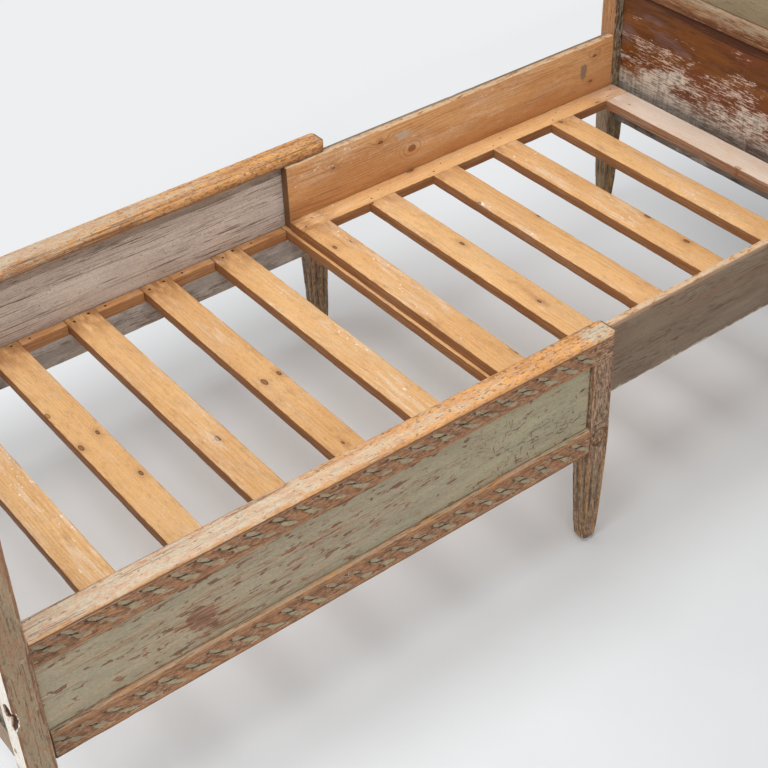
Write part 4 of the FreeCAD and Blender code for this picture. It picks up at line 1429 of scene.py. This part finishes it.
def make_mid_post(side_name):
    """The post at the end of a side frame: thinner above the ledge, with a rosette where a rail meets it."""
    side = SIDES[side_name]
    node = "mid_post_" + side_name
    low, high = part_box(node)
    rail_low, rail_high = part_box("side_bottom_rail_" + side_name)
    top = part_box("side_top_rail_" + side_name)[0].z
    ledge = rail_high.z
    block = (rail_low.z + BAND_END, ledge - BAND_END)
    groove = (ledge + NECK_GROOVE, ledge + 3.0 * NECK_GROOVE)

    def section(z, sides):
        back, face = sorted((abs(sides[2]), abs(sides[3])))
        if block[0] < z < block[1]:
            face = HALF_WIDTH - BAND_BED
        if groove[0] < z < groove[1]:
            face -= NECK_GROOVE
        if z > ledge:
            back = HALF_WIDTH - REBATE_DEPTH
        return sides[:2] + sorted((side * face, side * back))

    steps = [place + gap for place in block + groove + (ledge,) for gap in (-STEP_GAP, STEP_GAP)]
    rings = post_rings(low, high, top, seed_of(node), section, steps)
    body = ring_mesh(node, [rings], flute_relief(low, high))
    flower = carved_rosette(high.x - low.x - 2.0 * STEP_GAP, block[1] - block[0])
    flower = set_into(flower, side, (low.x + high.x) / 2.0, (block[0] + block[1]) / 2.0)
    set_in_place(node, joined(node, [body, flower]), Z, "foot_half", "frame_paint", post_finish)


# Head and foot boards

def make_end_rail(end, name, body):
    """A rail between two posts, chamfered along its inner edges."""
    node = "%s_%s" % (end, name)
    low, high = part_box(node)
    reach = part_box(end + "_post_back")[0].y
    outer, inner = (low.x, high.x) if end == "foot" else (high.x, low.x)
    cut = math.copysign(END_RAIL_CHAMFER, inner - outer)
    outline = [
        (outer, low.z), (inner - cut, low.z), (inner, low.z + END_RAIL_CHAMFER),
        (inner, high.z - END_RAIL_CHAMFER), (inner - cut, high.z), (outer, high.z)]
    set_in_place(node, plank(node, Y, -reach, reach, outline), Y, body, "frame_paint", frame_finish)


def make_end_panel(end, name, below, above, body, material):
    """A panel between the rails below and above it."""
    node = "%s_%s" % (end, name)
    low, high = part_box(node)
    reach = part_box(end + "_post_back")[0].y - SHADOW_GAP
    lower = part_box("%s_%s" % (end, below))[1].z + SHADOW_GAP
    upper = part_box("%s_%s" % (end, above))[0].z - SHADOW_GAP
    mesh = plank(node, Y, -reach, reach, rectangle(low.x, high.x, lower, upper))
    set_in_place(node, mesh, Y, body, "panel_paint", material)


def make_end_frame(end, body):
    """All of the head or foot board."""
    for side_name in SIDES:
        make_end_post(end, side_name, body)
    for rail in ("bottom_rail", "mid_rail", "top_rail"):
        make_end_rail(end, rail, body)
    make_end_panel(end, "lower_panel", "bottom_rail", "mid_rail", body, stained_finish)
    make_end_panel(end, "upper_panel", "mid_rail", "top_rail", body, end_panel_finish)


# Slats, and the boards and ledgers of the sliding half

def slats(kind):
    """Low and high corners of the slats of a kind, from the foot end on."""
    return [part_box("%s_slat_%d" % (kind, number)) for number in range(1, SLAT_COUNT + 1)]


def make_outer_slat(number):
    """A slat of the foot half."""
    node = "outer_slat_%d" % number
    low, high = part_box(node)
    mesh = plank(node, Y, low.y, high.y, rectangle(low.x, high.x, low.z, high.z))
    set_in_place(node, mesh, Y, "foot_half", "slat_pine", slat_finish)


def make_spacers(side_name):
    """The blocks between the slat ends on one ledge."""
    node = "slat_spacers_" + side_name
    low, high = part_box(node)
    outline = rectangle(low.y, high.y, low.z, high.z)
    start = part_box("foot_post_" + side_name)[1].x
    shells = []
    for number, (slat_low, slat_high) in enumerate(slats("outer"), 1):
        places = spread(start + SPACER_CLEAR, slat_low.x - SPACER_CLEAR)
        shells.append(prism(lambda place: outline, X, places, seed_of(node) + number * 0.1))
        start = slat_high.x
    set_in_place(node, ring_mesh(node, shells), X, "foot_half", "slat_pine", spacer_finish)


def make_inner_slat(number):
    """A slat whose ends are halved to go under the ledgers."""
    node = "inner_slat_%d" % number
    low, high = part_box(node)
    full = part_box("slat_ledger_back")[0].y - LAP_CLEAR
    lap = middle_height(node)

    def section(y):
        return rectangle(low.x, high.x, low.z, high.z if abs(y) < full else lap)

    rings = prism(section, Y, spread(low.y, high.y, [-full, full]), seed_of(node))
    last = number == SLAT_COUNT
    slot, finish = ("bleached_pine", bleached_finish) if last else ("slat_pine", slat_finish)
    set_in_place(node, ring_mesh(node, [rings]), Y, "head_half", slot, finish)


def make_ledger(side_name):
    """The strip along a sliding board, notched over each slat end."""
    node = "slat_ledger_" + side_name
    low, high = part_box(node)
    lap = middle_height(node)
    notches = [(slat_low.x - LAP_CLEAR, slat_high.x + LAP_CLEAR) for slat_low, slat_high in slats("inner")]

    def section(x):
        notched = any(start < x < stop for start, stop in notches)
        return rectangle(low.y, high.y, lap if notched else low.z, high.z)

    breaks = [x for notch in notches for x in notch if low.x + EASE < x < high.x - EASE]
    rings = prism(section, X, spread(low.x, high.x, breaks), seed_of(node))
    set_in_place(node, ring_mesh(node, [rings]), X, "head_half", "slat_pine", slat_finish)


def make_sliding_board(side_name):
    """The board on edge that slides along a side frame."""
    node = "sliding_board_" + side_name
    low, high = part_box(node)
    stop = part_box("head_post_" + side_name)[0].x
    mesh = plank(node, X, low.x, stop, rectangle(low.y, high.y, low.z, high.z))
    set_in_place(node, mesh, X, "head_half", "board_pine", board_finish)


# Nails

def make_nails(name, places, radius, rise, tilt, body):
    """A nail head at every place, each turned and sized a little differently."""
    nails = Shape("nail_heads", Radius=radius, Rise=rise, Tilt=tilt, Finish=iron_finish)
    broad, lean = nails.given("Radius"), nails.given("Tilt")
    head = nails.add(
        "GeometryNodeMeshCone", {"fill_type": "NGON"},
        {"Vertices": NAIL_SIDES, "Radius Top": broad * NAIL_TAPER, "Radius Bottom": broad,
         "Depth": nails.given("Rise")})
    least, most = nails.vector(lean * -1.0, lean * -1.0, 0.0), nails.vector(lean, lean, NAIL_TURN)
    turn = nails.add(
        "FunctionNodeRandomValue", {"data_type": "FLOAT_VECTOR"}, {0: least, 1: most, "Seed": 5})
    sizes = {2: NAIL_SIZES[0], 3: NAIL_SIZES[1], "Seed": 8}
    size = nails.add("FunctionNodeRandomValue", {"data_type": "FLOAT"}, sizes, 1)
    points = bpy.data.meshes.new(name + "_places")
    points.from_pydata(places, [], [])
    add_piece(name, nails.mesh(nails.at_places(head, turn, Scale=size), points), body, "frame_paint")


def nail_rows(strip, kind):
    """For every slat end along a strip: its side, the slat's start and width, how far its nails stray, and
    the middle and top of the strip."""
    for side_name, side in SIDES.items():
        low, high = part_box("%s_%s" % (strip, side_name))
        for number, (slat_low, slat_high) in enumerate(slats(kind), 1):
            stray = (seed_of("%s%d" % (side_name, number)) - 0.5) * NAIL_STRAY
            yield side, slat_low.x, slat_high.x - slat_low.x, stray, (low.y + high.y) / 2.0, high.z


def outer_nail_places():
    """Two nails in each end of a slat and one in each spacer."""
    places = []
    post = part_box("foot_post_front")[1].x
    starts = ([post] + [high.x for _, high in slats("outer")][:-1]) * len(SIDES)
    for start, (side, x, width, stray, line, top) in zip(starts, nail_rows("slat_spacers", "outer")):
        places.append((x + width * SLAT_NAILS[0] + stray, line - side * SLAT_NAIL_INSET, top))
        places.append((x + width * SLAT_NAILS[1], line + stray * 0.5, top))
        places.append((start + (x - start) * SPACER_NAIL + stray, line, top))
    return places


def inner_nail_places():
    """Two nails through the ledger into each slat end, set diagonally."""
    places = []
    for side, x, width, stray, line, top in nail_rows("slat_ledger", "inner"):
        places.append((x + width * LEDGER_NAILS[0] + stray, line - side * LEDGER_NAIL_INSET, top))
        places.append((x + width * LEDGER_NAILS[1], line + side * LEDGER_NAIL_OUTSET + stray, top))
    return places


# Pegs

def make_pegs(node, places, body):
    """A whittled peg at every place, lying the way that the place looks, with a domed end."""
    pegs = Shape("whittled_pegs", Radius=PEG_RADIUS, Length=PEG_LENGTH, Dome=PEG_DOME, Finish=painted_peg)
    radius = pegs.given("Radius")
    peg = pegs.add(
        "GeometryNodeMeshCone", {"fill_type": "TRIANGLE_FAN"},
        {"Vertices": PEG_SIDES, "Side Segments": 2, "Fill Segments": 2, "Radius Top": radius,
         "Radius Bottom": radius * PEG_TAPER, "Depth": pegs.given("Length")})
    x, y, z = pegs.place()
    sunk = (x * x + y * y) / (radius * radius) * pegs.given("Dome") * z.rise(0.0, 0.001)
    down = pegs.vector(0.0, 0.0, sunk * -1.0)
    domed = pegs.add("GeometryNodeSetPosition", {}, {"Geometry": peg, "Offset": down})
    facing = pegs.add("GeometryNodeInputNamedAttribute", {"data_type": "FLOAT_VECTOR"}, {"Name": "facing"})
    turn = pegs.add("FunctionNodeAlignRotationToVector", {"axis": "Z"}, {"Vector": facing})
    points = bpy.data.meshes.new(node + "_places")
    points.from_pydata([spot - out * (PEG_LENGTH - PEG_PROUD) for spot, out in places], [], [])
    store(points, "facing", "FLOAT_VECTOR", [part for spot, out in places for part in out])
    add_piece(node + "_worn", pegs.mesh(pegs.at_places(domed, turn), points), body, "peg_wood", node)


def end_peg_places(end):
    """Pegs through the posts into the end rails' tenons: a point on the post's face and the way it looks."""
    places = []
    for side_name, side in SIDES.items():
        low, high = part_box("%s_post_%s" % (end, side_name))
        face = low.x if end == "foot" else high.x
        line = side * (min(abs(low.y), abs(high.y)) + PEG_IN_END_TENON)
        for rail in ("bottom_rail", "top_rail"):
            spot = Vector((face, line, middle_height("%s_%s" % (end, rail))))
            places.append((spot, Vector((math.copysign(1.0, face), 0.0, 0.0))))
    return places


def side_peg_places():
    """Pegs through the foot posts into both side rails and through the mid posts into the bottom rails."""
    places = []
    for side_name, side in SIDES.items():
        out = Vector((0.0, side, 0.0))
        post_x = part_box("foot_post_" + side_name)[1].x - PEG_IN_SIDE_TENON
        for rail in ("side_top_rail_", "side_bottom_rail_"):
            places.append((Vector((post_x, side * HALF_WIDTH, middle_height(rail + side_name))), out))
        low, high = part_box("mid_post_" + side_name)
        inner = side * min(abs(low.y), abs(high.y))
        height = middle_height("side_bottom_rail_" + side_name)
        places.append((Vector((low.x + PEG_IN_MID_TENON, inner, height)), -out))
    return places


def board_peg_places():
    """Pegs through the head posts into the two tenons of each sliding board."""
    places = []
    for side_name, side in SIDES.items():
        low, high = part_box("head_post_" + side_name)
        outer = side * max(abs(low.y), abs(high.y))
        for away in (-1.0, 1.0):
            height = middle_height("sliding_board_" + side_name) + away * PEG_FROM_BOARD_MIDDLE
            places.append((Vector((low.x + PEG_IN_SIDE_TENON, outer, height)), Vector((0.0, side, 0.0))))
    return places


# Glides

def make_glides(node, posts, body):
    """Domed discs under the feet, in the places of the node's discs."""
    turns = [2.0 * math.pi * i / GLIDE_SIDES for i in range(GLIDE_SIDES)]
    shells = []
    for name in posts:
        for side_name in SIDES:
            low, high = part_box("%s_%s" % (name, side_name))
            middle = Vector(((low.x + high.x) / 2.0, (low.y + high.y) / 2.0, 0.0))
            rings = []
            for radius, z in GLIDE_RINGS:
                circle = [Vector((radius * math.cos(turn), radius * math.sin(turn), z)) for turn in turns]
                rings.append([middle + point * mm for point in circle])
            shells.append(rings)
    set_in_place(node, ring_mesh(node, shells), Z, body, "glide", glide_finish)


# The whole bed in its studio

make_floor()
make_light()
make_camera()
bpy.context.scene.view_settings.view_transform = "Standard"

slat_finish = slat_pine("golden_pine", PINE_LIGHT, PINE_MID, PINE_DARK, 0.8, 1.0)
spacer_finish = slat_pine("soiled_pine", SPACER_LIGHT, SPACER_MID, PINE_DARK, 0.5, 0.5)
bleached_finish = slat_pine("bleached_pine", BLEACHED_LIGHT, BLEACHED_MID, PINE_MID, 0.7, 0.6)
board_finish = board_pine()
panel_finish = side_panel_paint()
end_panel_finish = end_panel_paint()
stained_finish = stained_panel()
rail_finish = carved_finish()
post_finish = post_paint()
frame_finish = end_rail_paint()
iron_finish = pitted("old_iron", IRON)
glide_finish = pitted("glide_pale", GLIDE_PALE)
painted_peg = peg_finish()

for side_name in SIDES:
    make_top_rail(side_name)
    make_bottom_rail(side_name)
    make_side_panel(side_name)
    make_mid_post(side_name)
    make_spacers(side_name)
    make_sliding_board(side_name)
    make_ledger(side_name)
for slat in range(1, SLAT_COUNT + 1):
    make_outer_slat(slat)
    make_inner_slat(slat)
make_end_frame("foot", "foot_half")
make_end_frame("head", "head_half")
make_nails("foot_half_nails", outer_nail_places(), NAIL_RADIUS, FLUSH_HEIGHT, FLUSH_TILT, "foot_half")
make_nails("head_half_nails", inner_nail_places(), BRAD_RADIUS, NAIL_HEIGHT, NAIL_TILT, "head_half")
make_glides("foot_half_glides", ("foot_post", "mid_post"), "foot_half")
make_glides("head_half_glides", ("head_post",), "head_half")
make_pegs("foot_half_pegs", end_peg_places("foot") + side_peg_places(), "foot_half")
make_pegs("head_half_pegs", end_peg_places("head") + board_peg_places(), "head_half")
